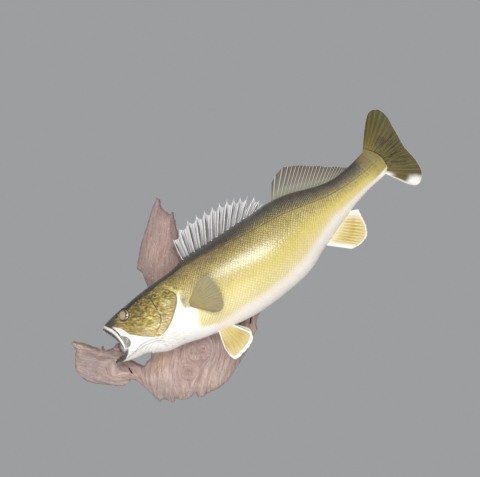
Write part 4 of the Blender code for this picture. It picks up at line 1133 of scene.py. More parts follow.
def fin_piece(
    name, material, roots, tips, count, ray_half, root_half, rows=34, per_ray=8, forks=True, scallop=0.012,
    edge=None, wave=0.0006, wave_turns=3.0,
):
    """A fin between two curves, told by functions of the share along the fin's root, with so many rays."""
    columns = count * per_ray + 1
    share = np.linspace(0, 1, columns)
    phase = share * count - 0.5
    off_ray = phase - np.round(phase)
    root, tip = roots(share), tips(share)
    reach = 1 - scallop * (1 - np.cos(2 * np.pi * phase)) / 2
    if edge is not None:
        reach = reach * edge(share, phase)
    t = np.linspace(0, 1, rows)[:, None]
    fork = 0.22 * ramped(t, 0.42, 0.95) if forks else 0.0 * t
    width = 0.13 - 0.04 * t
    ridge = np.exp(-(((np.abs(off_ray)[None] - fork) / width) ** 2))
    middle = root[None] + (tip - root)[None] * (t * reach[None])[..., None]
    run = np.gradient(middle, axis=0)
    sway = np.gradient(middle, axis=1)
    out = np.cross(sway, run)
    out /= np.maximum(np.linalg.norm(out, axis=-1, keepdims=True), 1e-9)
    out *= np.sign(-out[rows // 2, columns // 2, 1])
    middle = middle + out * (
        wave * t * np.sin(2 * np.pi * wave_turns * share)[None] + 0.0004 * t * np.cos(2 * np.pi * phase)[None]
    )[..., None]
    half = FIN_EDGE / 2 + (
        root_half - FIN_EDGE / 2
    ) * (1 - ramped(t, 0.0, 0.35)) + ray_half * (1 - 0.72 * t) * ridge
    near, far = middle + out * half[..., None], middle - out * half[..., None]
    points = np.concatenate((near.reshape(-1, 3), far.reshape(-1, 3)))
    size = rows * columns
    front = grid_faces(rows, columns, closed=False)
    faces = front[:, ::-1].tolist() + (front + size).tolist()
    loop = [j for j in range(columns)] + [i * columns + columns - 1 for i in range(1, rows)]
    loop += [(rows - 1) * columns + j for j in range(columns - 2, -1, -1)]
    loop += [i * columns for i in range(rows - 2, 0, -1)]
    faces += [(a, b, b + size, a + size) for a, b in zip(loop, loop[1:] + loop[:1])]
    length = np.linalg.norm(tip - root, axis=1)[None] * reach[None]
    foot = np.linalg.norm(np.diff(middle, axis=1), axis=-1)
    from_front = np.concatenate((np.zeros((rows, 1)), np.cumsum(foot, axis=1)), axis=1)
    from_back = from_front[:, -1:] - from_front
    margin = np.minimum(
        (1 - t) * length, np.minimum(from_front + 0.004 * (1 - t), from_back + 0.004 * (1 - t))
    ) * 100
    fields = {
        "ray": ridge, "reach": np.broadcast_to(t, ridge.shape), "spread": np.broadcast_to(share[None], ridge.shape),
        "margin": margin, "out_along": np.broadcast_to(t * length * 100, ridge.shape),
    }
    piece = new_piece(name, points, faces, material, **{key: np.tile(np.ravel(v), 2) for key, v in fields.items()})
    i, j = np.meshgrid(np.arange(rows - 1), np.arange(columns - 1), indexing="ij")
    across = np.stack((j, j + 1, j + 1, j), axis=-1).reshape(-1, 4) / (columns - 1) * 0.46 + 0.01
    along = np.stack((i, i, i + 1, i + 1), axis=-1).reshape(-1, 4) / (rows - 1) * 0.94 + 0.02
    rim = np.linspace(0, 1, len(loop) + 1)
    rim_across = np.stack((rim[:-1], rim[1:], rim[1:], rim[:-1]), axis=-1) * 0.98 + 0.01
    rim_along = np.tile((0.970, 0.970, 0.985, 0.985), (len(loop), 1))
    lay_map(
        piece, np.concatenate((across[:, ::-1].ravel(), across.ravel() + 0.5, rim_across.ravel())),
        np.concatenate((along[:, ::-1].ravel(), along.ravel(), rim_along.ravel())),
    )
    return piece


def paint_fin(
    name, webs, rays, streak, streak_share, rim, rim_start, rim_end, root=None, core=None, streaks_from=0.50,
    finer=(60.0, 0.45), roughness=0.46, beside=None,
):
    """A fin's finish: webs and rays from root to edge, streaks along the rays, a painted shadow just rearward of each
    ray where asked, then its outer rim.
    """
    paint = Paint(name, roughness, coat=0.10, coat_roughness=0.25)
    paint.shader.inputs["Specular IOR Level"].default_value = 0.25
    place = paint.place()
    reach, ray, margin = paint.field("reach"), paint.field("ray"), paint.field("margin")
    spread, out_along = paint.field("spread"), paint.field("out_along")
    drawn = paint.node(
        "ShaderNodeCombineXYZ", 0, (), n0=paint.times(spread, finer[0]),
        n1=paint.times(out_along, finer[1]), n2=0.0,
    )
    streaks = paint.noise(drawn, 1.0, detail=3.0, roughness=0.6)
    blotch = paint.noise(place, 70.0, detail=3.0)
    web = paint.ramp(paint.sum("ADD", reach, paint.sum("MULTIPLY_ADD", blotch, 0.16, -0.08)), *webs)
    bone = paint.ramp(reach, *rays)
    joints = paint.sum("SINE", paint.times(out_along, 34.0))
    colour = paint.mix(
        paint.times(paint.step(streaks, streaks_from, streaks_from + 0.13), streak_share), web, streak
    )
    colour = paint.mix(paint.step(ray, 0.15, 0.75), colour, bone)
    if beside is not None:
        # painted shadow: a dark streak on the web just rearward of each ray
        past = paint.sum(
            "FRACT", paint.sum("MULTIPLY_ADD", spread, beside[0], paint.sum("MULTIPLY_ADD", blotch, 0.10, -0.05))
        )
        shadow = paint.times(paint.step(past, 0.30, 0.10), paint.step(streaks, 0.30, 0.46))
        colour = paint.mix(paint.times(shadow, paint.step(reach, 1.0, 0.70)), colour, beside[1])
    if core is not None:
        near_core = paint.sum(
            "MULTIPLY", paint.step(spread, core[0], core[1]), paint.step(spread, core[3], core[2])
        )
        colour = paint.mix(near_core, rim, colour)
    if root is not None:
        colour = paint.mix(paint.step(out_along, root[0], root[0] * 0.35), colour, root[1])
    edge = paint.step(paint.sum("ADD", margin, paint.sum("MULTIPLY_ADD", blotch, 0.30, -0.15)), rim_end, rim_start)
    colour = paint.mix(edge, colour, rim)
    bump = paint.sum("ADD", paint.times(paint.times(joints, ray), 0.18), streaks)
    return paint.finish(colour, None, bump, strength=0.30, depth=0.0004)


def off_root(root, degrees, length, out=0.0):
    """The tips of rays that leave their roots at angles above level, in the plane of the wall."""
    angle = np.radians(degrees)
    zero = np.zeros_like(angle)
    return root + np.stack((np.cos(angle) * length, zero - out, np.sin(angle) * length), axis=-1)


# the spiny fin of the back
SPINES = 14
SPINY_START, SPINY_END = 0.215, 0.410
SPINE_LENGTH = smooth_table((
    (0.0, 0.047), (0.15, 0.068), (0.5, 0.071), (0.68, 0.062), (0.84, 0.051), (0.92, 0.036), (1.0, 0.021),
))
SPINE_LEAN = smooth_table(((0.0, 116.0), (0.25, 97.0), (0.5, 86.0), (0.75, 75.0), (1.0, 56.0)))


def spiny_roots(share):
    station = SPINY_START + (SPINY_END - SPINY_START) * share
    return fish_point(station, back_height(station) - 0.0030, 0.0)


def spiny_tips(share):
    return off_root(spiny_roots(share), SPINE_LEAN(share), SPINE_LENGTH(share) + 0.0030)


def spiny_edge(share, phase):
    """The web hangs in scallops between the spines and is torn deep behind the eleventh."""
    between = share * (SPINES - 1) % 1.0
    cut = 0.045 + 0.150 * np.sin(np.pi * between ** 1.25) ** 0.8
    tear = 0.34 * np.exp(-(((share * (SPINES - 1) - 10.45) / 0.36) ** 2))
    last = 0.30 * ramped(share, 0.93, 1.0)
    return 1 - cut - tear - last


# the spiny fin's webs carry a painted shadow just rearward of each spine
spiny_paint = paint_fin(
    "spiny_fin", (
        (0.0, shade(140, 136, 134)), (0.35, shade(164, 160, 161)), (0.75, shade(192, 189, 190)),
        (1.0, shade(212, 210, 210)),
    ),
    (
        (0.0, shade(196, 192, 190)), (1.0, shade(228, 226, 225))
    ), shade(70, 64, 66), 0.88, shade(222, 220, 219), 0.03, 0.10,
    root=(0.80, shade(52, 48, 46)), streaks_from=0.48, finer=(110.0, 0.16), beside=(13.0, shade(74, 68, 70)),
)
spiny_web = fin_piece(
    "spiny_fin_web", spiny_paint, spiny_roots, spiny_tips, 39, 0.00025, 0.0016, rows=30, per_ray=6, forks=False,
    scallop=0.0, edge=spiny_edge, wave=0.0012, wave_turns=6.5,
)
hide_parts("dorsal_fin_spiny")


def paint_spine():
    paint = Paint("fin_spine", 0.3, coat=0.5, coat_roughness=0.12)
    to_tip = paint.field("to_tip")
    colour = paint.ramp(
        to_tip, (0.0, shade(196, 190, 182)), (0.4, shade(226, 223, 218)), (1.0, shade(246, 244, 241))
    )
    grain = paint.noise(paint.place(), 300.0, detail=3.0)
    colour = paint.mix(paint.times(paint.step(grain, 0.5, 0.7), 0.35), colour, shade(150, 142, 136))
    return paint.finish(colour, None, grain, strength=0.2, depth=0.0003)


spine_paint = paint_spine()
parts = []
for share in np.linspace(0, 1, SPINES):
    root, tip = spiny_roots(np.array([share]))[0], spiny_tips(np.array([share]))[0]
    t = np.linspace(0, 1, 14)[:, None]
    bend = np.array((0.0025, 0.0, 0.0)) * np.sin(np.pi * t)
    parts.append(tapered(root + (tip - root) * t - bend * 0.5, 0.00150 * (1 - 0.80 * t[:, 0] ** 1.5), 10))
    knob = root + (tip - root) * 0.0  # the knuckle that the spine turns on
    along = fish_direction(SPINY_START + (SPINY_END - SPINY_START) * share, 0.15, 1.0, 0.0)
    k = np.linspace(0, 1, 9)[:, None]
    parts.append(
        tapered(
            knob + along * (0.0012 + 0.0052 * k), 0.0021 * np.sqrt(np.clip(1 - (2 * k[:, 0] - 1) ** 2, 0.02, 1)),
            10,
        )
    )
points, faces, to_tip = join(parts)
spines = new_piece("fin_spines", points, faces, spine_paint, to_tip=to_tip)

# the soft fin of the back
SOFT_START, SOFT_END = 0.4465, 0.596
SOFT_LENGTH = smooth_table((
    (0.0, 0.040), (0.04, 0.058), (0.08, 0.0665), (0.15, 0.0655), (0.4, 0.054), (0.7, 0.040), (0.9, 0.026), (1.0, 0.016),
))
SOFT_LEAN = smooth_table(((0.0, 89.0), (0.06, 81.0), (0.15, 75.0), (0.5, 72.0), (0.8, 62.0), (1.0, 52.0)))


def soft_roots(share):
    station = SOFT_START + (SOFT_END - SOFT_START) * share
    return fish_point(station, back_height(station) - 0.0030, 0.0)


soft_paint = paint_fin(
    "soft_fin", (
        (0.0, shade(140, 139, 118)), (0.28, shade(132, 129, 112)), (0.42, shade(116, 108, 96)),
        (0.90, shade(92, 82, 74)),
    ),
    (
        (0.0, shade(156, 157, 132)), (0.5, shade(182, 180, 162)), (1.0, shade(180, 176, 162))
    ), shade(78, 68, 60), 0.30,
    shade(176, 171, 158), 0.02, 0.10, root=(0.40, shade(60, 55, 48)),
)
soft_fin = fin_piece(
    "soft_back_fin", soft_paint, soft_roots, lambda share: off_root(
        soft_roots(share), SOFT_LEAN(share), SOFT_LENGTH(share) + 0.0030
    ),
    21, 0.00045, 0.0016, forks=False,
)
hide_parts("dorsal_fin_soft")

# the anal fin
ANAL_START, ANAL_END = 0.476, 0.556
ANAL_LENGTH = smooth_table(((0.0, 0.054), (0.15, 0.064), (0.35, 0.067), (0.6, 0.056), (0.85, 0.032), (1.0, 0.018)))
ANAL_LEAN = smooth_table(((0.0, -8.0), (0.5, -7.0), (0.8, 0.0), (1.0, 12.0)))


def anal_roots(share):
    station = ANAL_START + (ANAL_END - ANAL_START) * share
    return fish_point(station, -belly_depth(station) + 0.0030, 0.0)


anal_paint = paint_fin(
    "anal_fin", (
        (0.0, shade(236, 228, 206)), (0.25, shade(208, 188, 112)), (0.55, shade(184, 152, 42)),
        (0.85, shade(200, 178, 92)),
    ),
    (
        (0.0, shade(240, 234, 218)), (0.5, shade(222, 206, 142)), (0.9, shade(232, 220, 178))
    ), shade(238, 228, 190), 0.40,
    shade(244, 240, 232), 0.16, 0.50, core=(0.03, 0.20, 0.70, 0.99),
)
anal_fin = fin_piece(
    "anal_fin_rays", anal_paint, anal_roots, lambda share: off_root(
        anal_roots(share), ANAL_LEAN(share), ANAL_LENGTH(share) + 0.0030
    ),
    13, 0.00045, 0.0016,
)
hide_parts("anal_fin")

# the tail fin
TAIL_ROOT = 0.660
TAIL_SLOPE, TAIL_TOP, TAIL_BOTTOM, TAIL_SWAY = 34.0, 70.0, -68.0, 0.010
TAIL_RADIUS = smooth_table((
    (-68.0, 0.078), (-64.0, 0.095), (-55.0, 0.1005), (-47.0, 0.0980), (-34.0, 0.0855), (-18.0, 0.072),
    (-4.0, 0.067), (10.0, 0.069), (30.0, 0.081), (45.0, 0.100), (54.0, 0.107), (64.0, 0.101), (70.0, 0.082),
))


def tail_roots(share):
    height = 0.0295 * (1 - 2 * share)
    return fish_point(0.655 + 0.6 * TAIL_ROUNDING * (1 - (height / 0.034) ** 2), height, 0.0)


def tail_tips(share):
    angle = TAIL_TOP + (TAIL_BOTTOM - TAIL_TOP) * share
    hub = fish_point(np.full_like(share, TAIL_ROOT), 0.0, 0.0)
    return off_root(hub, TAIL_SLOPE + angle, TAIL_RADIUS(angle), out=TAIL_SWAY)


def paint_tail():
    paint = Paint("tail_fin", 0.50, coat=0.06, coat_roughness=0.25)
    paint.shader.inputs["Specular IOR Level"].default_value = 0.20
    place = paint.place()
    reach, ray, margin = paint.field("reach"), paint.field("ray"), paint.field("margin")
    spread, out_along = paint.field("spread"), paint.field("out_along")
    drawn = paint.node(
        "ShaderNodeCombineXYZ", 0, (), n0=paint.times(spread, 42.0),
        n1=paint.times(out_along, 0.40), n2=0.0,
    )
    streaks = paint.noise(drawn, 1.0, detail=3.0, roughness=0.6)
    blotch = paint.noise(place, 60.0, detail=3.0)
    web = paint.ramp(
        reach, (0.0, shade(142, 124, 56)), (0.25, shade(102, 88, 34)), (0.7, shade(78, 70, 28)),
        (1.0, shade(84, 77, 40)),
    )
    bone = paint.ramp(reach, (0.0, shade(150, 131, 62)), (0.3, shade(108, 95, 38)), (1.0, shade(88, 80, 42)))
    colour = paint.mix(paint.step(ray, 0.15, 0.75), web, bone)
    # dark streaks over the middle rays
    middle = paint.times(paint.step(spread, 0.14, 0.34), paint.step(spread, 0.86, 0.66))
    middle = paint.sum(
        "MULTIPLY", middle, paint.times(paint.step(reach, 0.10, 0.26), paint.step(reach, 1.0, 0.72))
    )
    dark = paint.times(paint.step(streaks, 0.50, 0.57), paint.sum("MULTIPLY_ADD", middle, 0.72, 0.12))
    colour = paint.mix(dark, colour, shade(34, 28, 15))
    base = paint.sum("ABSOLUTE", paint.sum("SUBTRACT", out_along, paint.sum("MULTIPLY_ADD", blotch, 0.8, 0.85)))
    colour = paint.mix(paint.times(paint.step(base, 0.32, 0.05), 0.6), colour, shade(84, 66, 34))
    low = paint.step(paint.sum("ADD", spread, paint.sum("MULTIPLY_ADD", blotch, 0.10, -0.05)), 0.84, 0.93)
    tip = paint.times(low, paint.step(reach, 0.60, 0.80))
    foot = paint.times(paint.step(spread, 0.86, 0.96), paint.step(reach, 0.40, 0.15))
    white = paint.sum(
        "MAXIMUM", tip, paint.sum("MAXIMUM", foot, paint.times(paint.step(margin, 0.14, 0.04), 0.55))
    )
    white = paint.sum("MAXIMUM", white, paint.times(paint.step(spread, 0.955, 0.985), 0.85))
    colour = paint.mix(white, colour, shade(240, 236, 230))
    joints = paint.times(paint.sum("SINE", paint.times(out_along, 34.0)), ray)
    return paint.finish(
        colour, None, paint.sum("ADD", paint.times(joints, 0.18), streaks), strength=0.30, depth=0.0004
    )


tail_fin = fin_piece(
    "tail_fin_rays", paint_tail(), tail_roots, tail_tips, 21, 0.00018, 0.0018, rows=44, wave=0.0010, scallop=0.004,
)
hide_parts("tail_fin")

# the fins behind the gills, one on each side
PECTORAL_STATION, PECTORAL_HEIGHT = 0.182, 0.002
PECTORAL_TOP, PECTORAL_BOTTOM = 66.0, -12.0
PECTORAL_RADIUS = smooth_table((
    (-12.0, 0.054), (-9.5, 0.063), (-4.0, 0.070), (5.0, 0.0735), (22.0, 0.072), (46.0, 0.073), (58.0, 0.0715),
    (63.0, 0.066), (66.0, 0.055),
))
pectoral_paint = paint_fin(
    "pectoral_fin", ((0.0, shade(160, 144, 98)), (0.4, shade(164, 150, 108)), (1.0, shade(156, 145, 112))),
    (
        (0.0, shade(178, 162, 112)), (0.5, shade(172, 158, 114)), (1.0, shade(162, 151, 118))
    ), shade(118, 104, 72), 0.55,
    shade(186, 174, 112), 0.02, 0.07,
)
for word, sign, lean_out in (("left", 1, 0.017), ("right", -1, 0.012)):
    hub = fish_point(PECTORAL_STATION - 0.001, PECTORAL_HEIGHT, 0.0)
    hub[1] = AXIS_DEPTH - sign * (float(half_width(PECTORAL_STATION)) + 0.0028)

    def pectoral_roots(share, hub=hub, sign=sign):
        angle = PECTORAL_TOP + (PECTORAL_BOTTOM - PECTORAL_TOP) * share
        return off_root(np.broadcast_to(hub, (len(share), 3)), angle, 0.007, out=sign * -0.0024)

    def pectoral_tips(share, hub=hub, sign=sign, lean_out=lean_out):
        angle = PECTORAL_TOP + (PECTORAL_BOTTOM - PECTORAL_TOP) * share
        return off_root(np.broadcast_to(hub, (len(share), 3)), angle, PECTORAL_RADIUS(angle), out=sign * lean_out)

    pectoral = fin_piece(
        f"pectoral_rays_{word}", pectoral_paint, pectoral_roots, pectoral_tips, 14, 0.00032, 0.0016, wave=0.0006, scallop=0.004,
    )
    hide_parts(f"pectoral_fin_{word}")

# the fins under the belly, one on each side
PELVIC_STATION, PELVIC_HUB_HEIGHT, PELVIC_SIDE = 0.221, -0.074, 0.012
PELVIC_TOP, PELVIC_BOTTOM = -9.0, -88.0
PELVIC_RADIUS = smooth_table((
    (-88.0, 0.042), (-78.0, 0.060), (-68.0, 0.069), (-55.0, 0.065), (-38.0, 0.064), (-20.0, 0.062), (-9.0, 0.052),
))
pelvic_paint = paint_fin(
    "pelvic_fin", ((0.0, shade(214, 198, 138)), (0.5, shade(200, 184, 112)), (1.0, shade(222, 210, 160))),
    (
        (0.0, shade(228, 214, 164)), (0.6, shade(206, 172, 84)), (1.0, shade(228, 214, 168))
    ), shade(184, 134, 58), 0.55,
    shade(247, 244, 238), 0.46, 0.80,
)
for word, sign in (("left", 1), ("right", -1)):
    hub = fish_point(PELVIC_STATION, PELVIC_HUB_HEIGHT, sign * PELVIC_SIDE)

    def pelvic_roots(share, sign=sign):
        station = PELVIC_STATION + 0.030 * (share - 0.47)
        power = fullness(station)
        drop = belly_depth(station) * (1 - (0.0102 / half_width(station)) ** power) ** (1 / power)
        return fish_point(station, -drop + 0.0032, sign * PELVIC_SIDE)

    def pelvic_tips(share, hub=hub, sign=sign):
        angle = PELVIC_BOTTOM + (PELVIC_TOP - PELVIC_BOTTOM) * share
        return off_root(np.broadcast_to(hub, (len(share), 3)), angle, PELVIC_RADIUS(angle), out=sign * 0.014)

    pelvic = fin_piece(
        f"pelvic_rays_{word}", pelvic_paint, pelvic_roots, pelvic_tips, 7, 0.00055, 0.0018, per_ray=14, wave=0.0010, wave_turns=2.0,
    )
    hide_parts(f"pelvic_fin_{word}")

# ==== The driftwood
# A weathered slab of driftwood: an upright horn behind the fish's shoulder, a broad lower part with
# two knots and a knobbly, hollowed arm under the jaw. Its back is sawn flat for the wall, its edge is
# broken and worn, and a seat for the fish's far side is carved into its front.

WOOD_OUTLINE = (
    (-0.098, 0.217), (-0.090, 0.214), (-0.086, 0.194), (-0.077, 0.187), (-0.069, 0.181), (-0.064, 0.188),
    (-0.059, 0.177), (-0.054, 0.150), (-0.042, 0.105), (-0.011, 0.077), (0.039, 0.065), (0.085, 0.039),
    (0.119, 0.006), (0.128, -0.031), (0.122, -0.048), (0.119, -0.059), (0.123, -0.069), (0.112, -0.085),
    (0.106, -0.103), (0.095, -0.124), (0.082, -0.145), (0.067, -0.169), (0.055, -0.184), (0.043, -0.194),
    (0.027, -0.204), (0.014, -0.208), (0.003, -0.217), (-0.007, -0.219), (-0.015, -0.208), (-0.022, -0.217),
    (-0.033, -0.223), (-0.046, -0.224), (-0.054, -0.220), (-0.062, -0.232), (-0.070, -0.225),
    (-0.082, -0.222), (-0.091, -0.229), (-0.101, -0.219), (-0.115, -0.205), (-0.128, -0.194),
    (-0.137, -0.184), (-0.150, -0.179), (-0.157, -0.185), (-0.168, -0.194), (-0.194, -0.192),
    (-0.226, -0.189), (-0.248, -0.184), (-0.263, -0.172), (-0.275, -0.156), (-0.276, -0.132),
    (-0.273, -0.116), (-0.284, -0.101), (-0.280, -0.095), (-0.261, -0.098), (-0.233, -0.107),
    (-0.221, -0.112), (-0.217, -0.105), (-0.211, -0.113), (-0.194, -0.110), (-0.186, -0.100),
    (-0.179, -0.098), (-0.173, -0.115), (-0.153, -0.135), (-0.137, -0.144), (-0.126, -0.149),
    (-0.118, -0.136), (-0.112, -0.129), (-0.110, -0.093), (-0.113, -0.042), (-0.115, 0.003),
    (-0.121, 0.027), (-0.130, 0.051), (-0.142, 0.061), (-0.139, 0.087), (-0.133, 0.118), (-0.124, 0.143),
    (-0.115, 0.175), (-0.108, 0.197),
)
WOOD_EDGE_THICKNESS, WOOD_CORE_THICKNESS, WOOD_ROUNDING = 0.024, 0.043, 0.030
WOOD_SWELLS = (  # x, z, half width, half height, turn in degrees, rise
    (-0.003, -0.112, 0.040, 0.040, 0, 0.010), (-0.026, -0.158, 0.035, 0.035, 0, 0.009),
    (0.070, -0.120, 0.030, 0.030, 0, 0.005), (-0.095, 0.100, 0.045, 0.045, 0, 0.009),
    (-0.185, -0.150, 0.040, 0.034, 0, 0.012), (-0.070, -0.195, 0.030, 0.030, 0, 0.005),
    (-0.003, -0.110, 0.022, 0.015, 20, -0.0075), (-0.026, -0.159, 0.012, 0.012, 0, -0.004),
    (-0.236, -0.150, 0.024, 0.026, -20, -0.0150), (-0.268, -0.150, 0.006, 0.022, 8, 0.0060),
    (-0.235, -0.109, 0.045, 0.0055, -12, 0.0060), (-0.146, -0.158, 0.0060, 0.022, -15, -0.0060),
    (-0.120, -0.172, 0.020, 0.012, -45, 0.0050), (-0.060, -0.150, 0.010, 0.060, 12, -0.0030),
    (0.040, -0.140, 0.010, 0.060, -18, -0.0035), (-0.085, 0.130, 0.006, 0.080, 3, -0.0030),
    (-0.110, 0.090, 0.005, 0.070, 4, 0.0025), (-0.068, 0.150, 0.004, 0.050, 4, 0.0025),
)
WOOD_KNOTS = ((-0.003, -0.110, 0.020), (-0.027, -0.158, 0.012), (-0.187, -0.150, 0.014))
WOOD_CRACKS = (  # two ends, depth
    ((0.107, -0.036), (0.104, -0.057), 0.016), ((-0.156, -0.147), (-0.147, -0.165), 0.004),
)
WOOD_STEP, POCKET_FLOOR, POCKET_REACH, SEAT_GAP = 0.0024, 0.026, 0.081, 0.0016


def near_knots(x, z):
    """1 at the middle of the two big knots and 0 well away from them."""
    return np.max([np.exp(-(((x - kx) / r) ** 2) - ((z - kz) / r) ** 2) for kx, kz, r in WOOD_KNOTS[:2]], axis=0)


def grained(x, z):
    """Across and along the grain, in metres. The grain stands upright, and lies level in the arm."""
    across, along = x - 0.06 * z + 0.004 * np.sin(z / 0.035), z.copy()
    for knot_x, knot_z, radius in WOOD_KNOTS[:2]:
        away_2 = np.maximum((x - knot_x) ** 2 + (z - knot_z) ** 2, radius**2)
        across = across - 1.6 * radius**2 * (x - knot_x) / away_2
    level = z + 0.25 * x + 0.060
    knot_x, knot_z, radius = WOOD_KNOTS[2]
    away_2 = np.maximum((x - knot_x) ** 2 + (z - knot_z) ** 2, radius**2)
    level = level - radius**2 * (z - knot_z) / away_2
    in_arm = ramped(x + 0.3 * (z + 0.16), -0.118, -0.150) * ramped(z, -0.070, -0.095)
    across = across + in_arm * (level - across)
    along = along + in_arm * (x - along)
    for knot_x, knot_z, radius in WOOD_KNOTS[:2]:
        away = np.hypot(x - knot_x, (z - knot_z) * 1.2)
        across = across + ramped(away, radius, 0.6 * radius) * (
            away * 0.7 + 0.004 * np.sin(5 * x / radius + z / radius) - across
        )
    return across, along


def veined(across, along, deep, wide, long, octaves=2):
    """Ridges of soft wood and hard wood along the grain, from -1 to 1."""
    rows = np.stack((across / wide, along / long, np.full_like(across, deep)), axis=-1)
    return np.array([noise.fractal(row, 0.6, 2.1, octaves) for row in rows.tolist()])


edge_line = np.array(WOOD_OUTLINE + WOOD_OUTLINE[:1])
runs = np.hypot(*np.diff(edge_line, axis=0).T)
spots = np.concatenate(([0.0], np.cumsum(runs)))
rim_count = int(spots[-1] / 0.0019)
rim_spots = spots[-1] * np.arange(rim_count) / rim_count
rim = np.stack([np.interp(rim_spots, spots, edge_line[:, k]) for k in (0, 1)], axis=-1)
rim = (np.roll(rim, 1, axis=0) + 2 * rim + np.roll(rim, -1, axis=0)) / 4
ahead = np.roll(rim, -2, axis=0) - np.roll(rim, 2, axis=0)
inward = np.stack((ahead[:, 1], -ahead[:, 0]), axis=-1) / np.linalg.norm(ahead, axis=1, keepdims=True)
ragged = np.array([noise.noise((x * 110, z * 110, 3.0)) for x, z in rim.tolist()])
splinters = np.array([noise.noise((x * 330, z * 330, 8.0)) for x, z in rim.tolist()])
rim = rim + inward * (0.0012 + 0.0016 * ragged + 0.0009 * splinters)[:, None]

x, z = np.meshgrid(np.arange(-0.283, 0.128, WOOD_STEP), np.arange(-0.231, 0.217, WOOD_STEP), indexing="ij")
luck = np.random.default_rng(5)
inner = np.stack((x.ravel(), z.ravel()), axis=-1) + luck.uniform(-0.0006, 0.0006, (x.size, 2))
crack_points = []
for (ax, az), (bx, bz), _ in WOOD_CRACKS:
    length = math.hypot(bx - ax, bz - az)
    out_x, out_z = (bz - az) / length, -(bx - ax) / length
    for share in np.linspace(0, 1, int(length / 0.0014) + 2):
        for side in (-0.0018, -0.0005, 0.0005, 0.0018):
            crack_points.append((ax + (bx - ax) * share + out_x * side, az + (bz - az) * share + out_z * side))
crack_points = np.array(crack_points)
near_crack = np.zeros(len(inner), dtype=bool)
for *crack, _ in WOOD_CRACKS:
    near_crack |= np.abs(distance_to(np.array(crack), *inner.T)) < 0.0030
inner = np.concatenate((inner[~near_crack], crack_points))
inner = inner[inside_of(rim, *inner.T)]
edge_distance = np.abs(distance_to(edge_line, *inner.T))
close = edge_distance < 0.008
close[close] = np.abs(distance_to(np.concatenate((rim, rim[:1])), *inner[close].T)) < 0.0032
inner = inner[~close]
front_rim = rim + inward * 0.0012
loop = [(i, (i + 1) % rim_count) for i in range(rim_count)]
flat_points, _, triangles, *_ = delaunay_2d_cdt(
    [Vector(point) for point in np.concatenate((front_rim, inner)).tolist()], loop, [], 1, 1e-7
)
flat_points = np.array([tuple(point) for point in flat_points])

x, z = flat_points.T
from_edge = np.abs(distance_to(edge_line, x, z))
share = np.minimum(1.0, from_edge / WOOD_ROUNDING)
thickness = WOOD_EDGE_THICKNESS + (WOOD_CORE_THICKNESS - WOOD_EDGE_THICKNESS) * np.sin(share * math.pi / 2)
for swell_x, swell_z, half_x, half_z, turn, rise in WOOD_SWELLS:
    turn = math.radians(turn)
    off_x = (x - swell_x) * math.cos(turn) + (z - swell_z) * math.sin(turn)
    off_z = (z - swell_z) * math.cos(turn) - (x - swell_x) * math.sin(turn)
    thickness += rise * np.minimum(1.0, share * 2) * np.exp(-2 * ((off_x / half_x) ** 2 + (off_z / half_z) ** 2))
grain_across, grain_along = grained(x, z)
coarse = veined(grain_across, grain_along, 0.0, 0.0085, 0.070)
fine = veined(grain_across, grain_along, 5.0, 0.0032, 0.040)
lumps = np.array([noise.noise((a * 26, b * 26, 1.5)) for a, b in zip(x.tolist(), z.tolist())])
rough_part = 0.55 + 0.45 * ramped(z, 0.0, -0.10)
calm = 1 - 0.7 * near_knots(x, z)
relief = calm * (0.0024 * coarse * rough_part + 0.0011 * fine) + 0.0030 * lumps * rough_part
crack_depth = np.zeros_like(x)
for *crack, depth in WOOD_CRACKS:
    away = np.abs(distance_to(np.array(crack), x, z))
    to_end = np.min([np.hypot(x - end_x, z - end_z) for end_x, end_z in crack], axis=0)
    crack_depth = np.maximum(crack_depth, depth * ramped(away, 0.0016, 0.0006) * ramped(to_end, 0.0, 0.006))
thickness += relief - crack_depth - 0.0040 * np.exp(-from_edge / 0.0022)

# the seat behind the fish, and a hollow for the far pectoral fin
flank = BVHTree.FromPolygons(all_points.reshape(-1, 3).tolist(), quads.tolist())
hub = fish_point(0.177, -0.0005, 0.0)
fan = np.radians(np.linspace(-18.0, 72.0, 9))
pocket = np.stack((hub[0] + POCKET_REACH * np.cos(fan), hub[2] + POCKET_REACH * np.sin(fan)), axis=-1)
pocket = np.concatenate((pocket, ((hub[0] - 0.005, hub[2] + 0.004), (hub[0] + 0.003, hub[2] - 0.005))))
in_pocket = ramped(depth_in(pocket, x, z), -0.004, 0.001)
thickness = np.minimum(thickness, thickness + in_pocket * (POCKET_FLOOR - thickness))
for k in range(len(x)):
    met = flank.ray_cast((x[k], 0.0, z[k]), (0.0, -1.0, 0.0), 0.2)[0]
    if met is not None:
        thickness[k] = min(thickness[k], -met.y - SEAT_GAP)

front = np.stack((x, -thickness, z), axis=-1)
EDGE_LEVELS = (
    (0.93, 0.0004), (0.80, -0.0002), (0.62, 0.0002), (0.46, -0.0003), (0.30, 0.0003), (0.15, 0.0006), (0.0, 0.0014)
)
rim_thickness = thickness[:rim_count]
rings = []
for level, inset in EDGE_LEVELS:
    layer = np.array([noise.noise((a * 150, level * 6.0, b * 150)) for a, b in rim.tolist()])
    place = rim + inward * (inset + 0.0013 + 0.0013 * layer * math.sin(math.pi * level) ** 0.5)[:, None]
    rings.append(np.stack((place[:, 0], -rim_thickness * level, place[:, 1]), axis=-1))
wood_points = np.concatenate((front, *rings))
faces = [tuple(triangle) for triangle in triangles]
starts = [0] + [len(front) + level * rim_count for level in range(len(rings))]
for upper, lower in zip(starts, starts[1:]):
    faces += [(upper + i, upper + j, lower + j, lower + i) for i, j in loop]
back_spots = np.stack(
    np.meshgrid(np.arange(-0.28, 0.13, 0.012), np.arange(-0.23, 0.22, 0.012)), axis=-1
).reshape(-1, 2)
back_rim = rings[-1][:, (0, 2)]
back_spots = back_spots[inside_of(back_rim, *back_spots.T)]
back_spots = back_spots[np.abs(distance_to(edge_line, *back_spots.T)) > 0.008]
back_points, _, back_triangles, *_ = delaunay_2d_cdt(
    [Vector(point) for point in np.concatenate((back_rim, back_spots)).tolist()], loop, [], 1, 1e-7
)
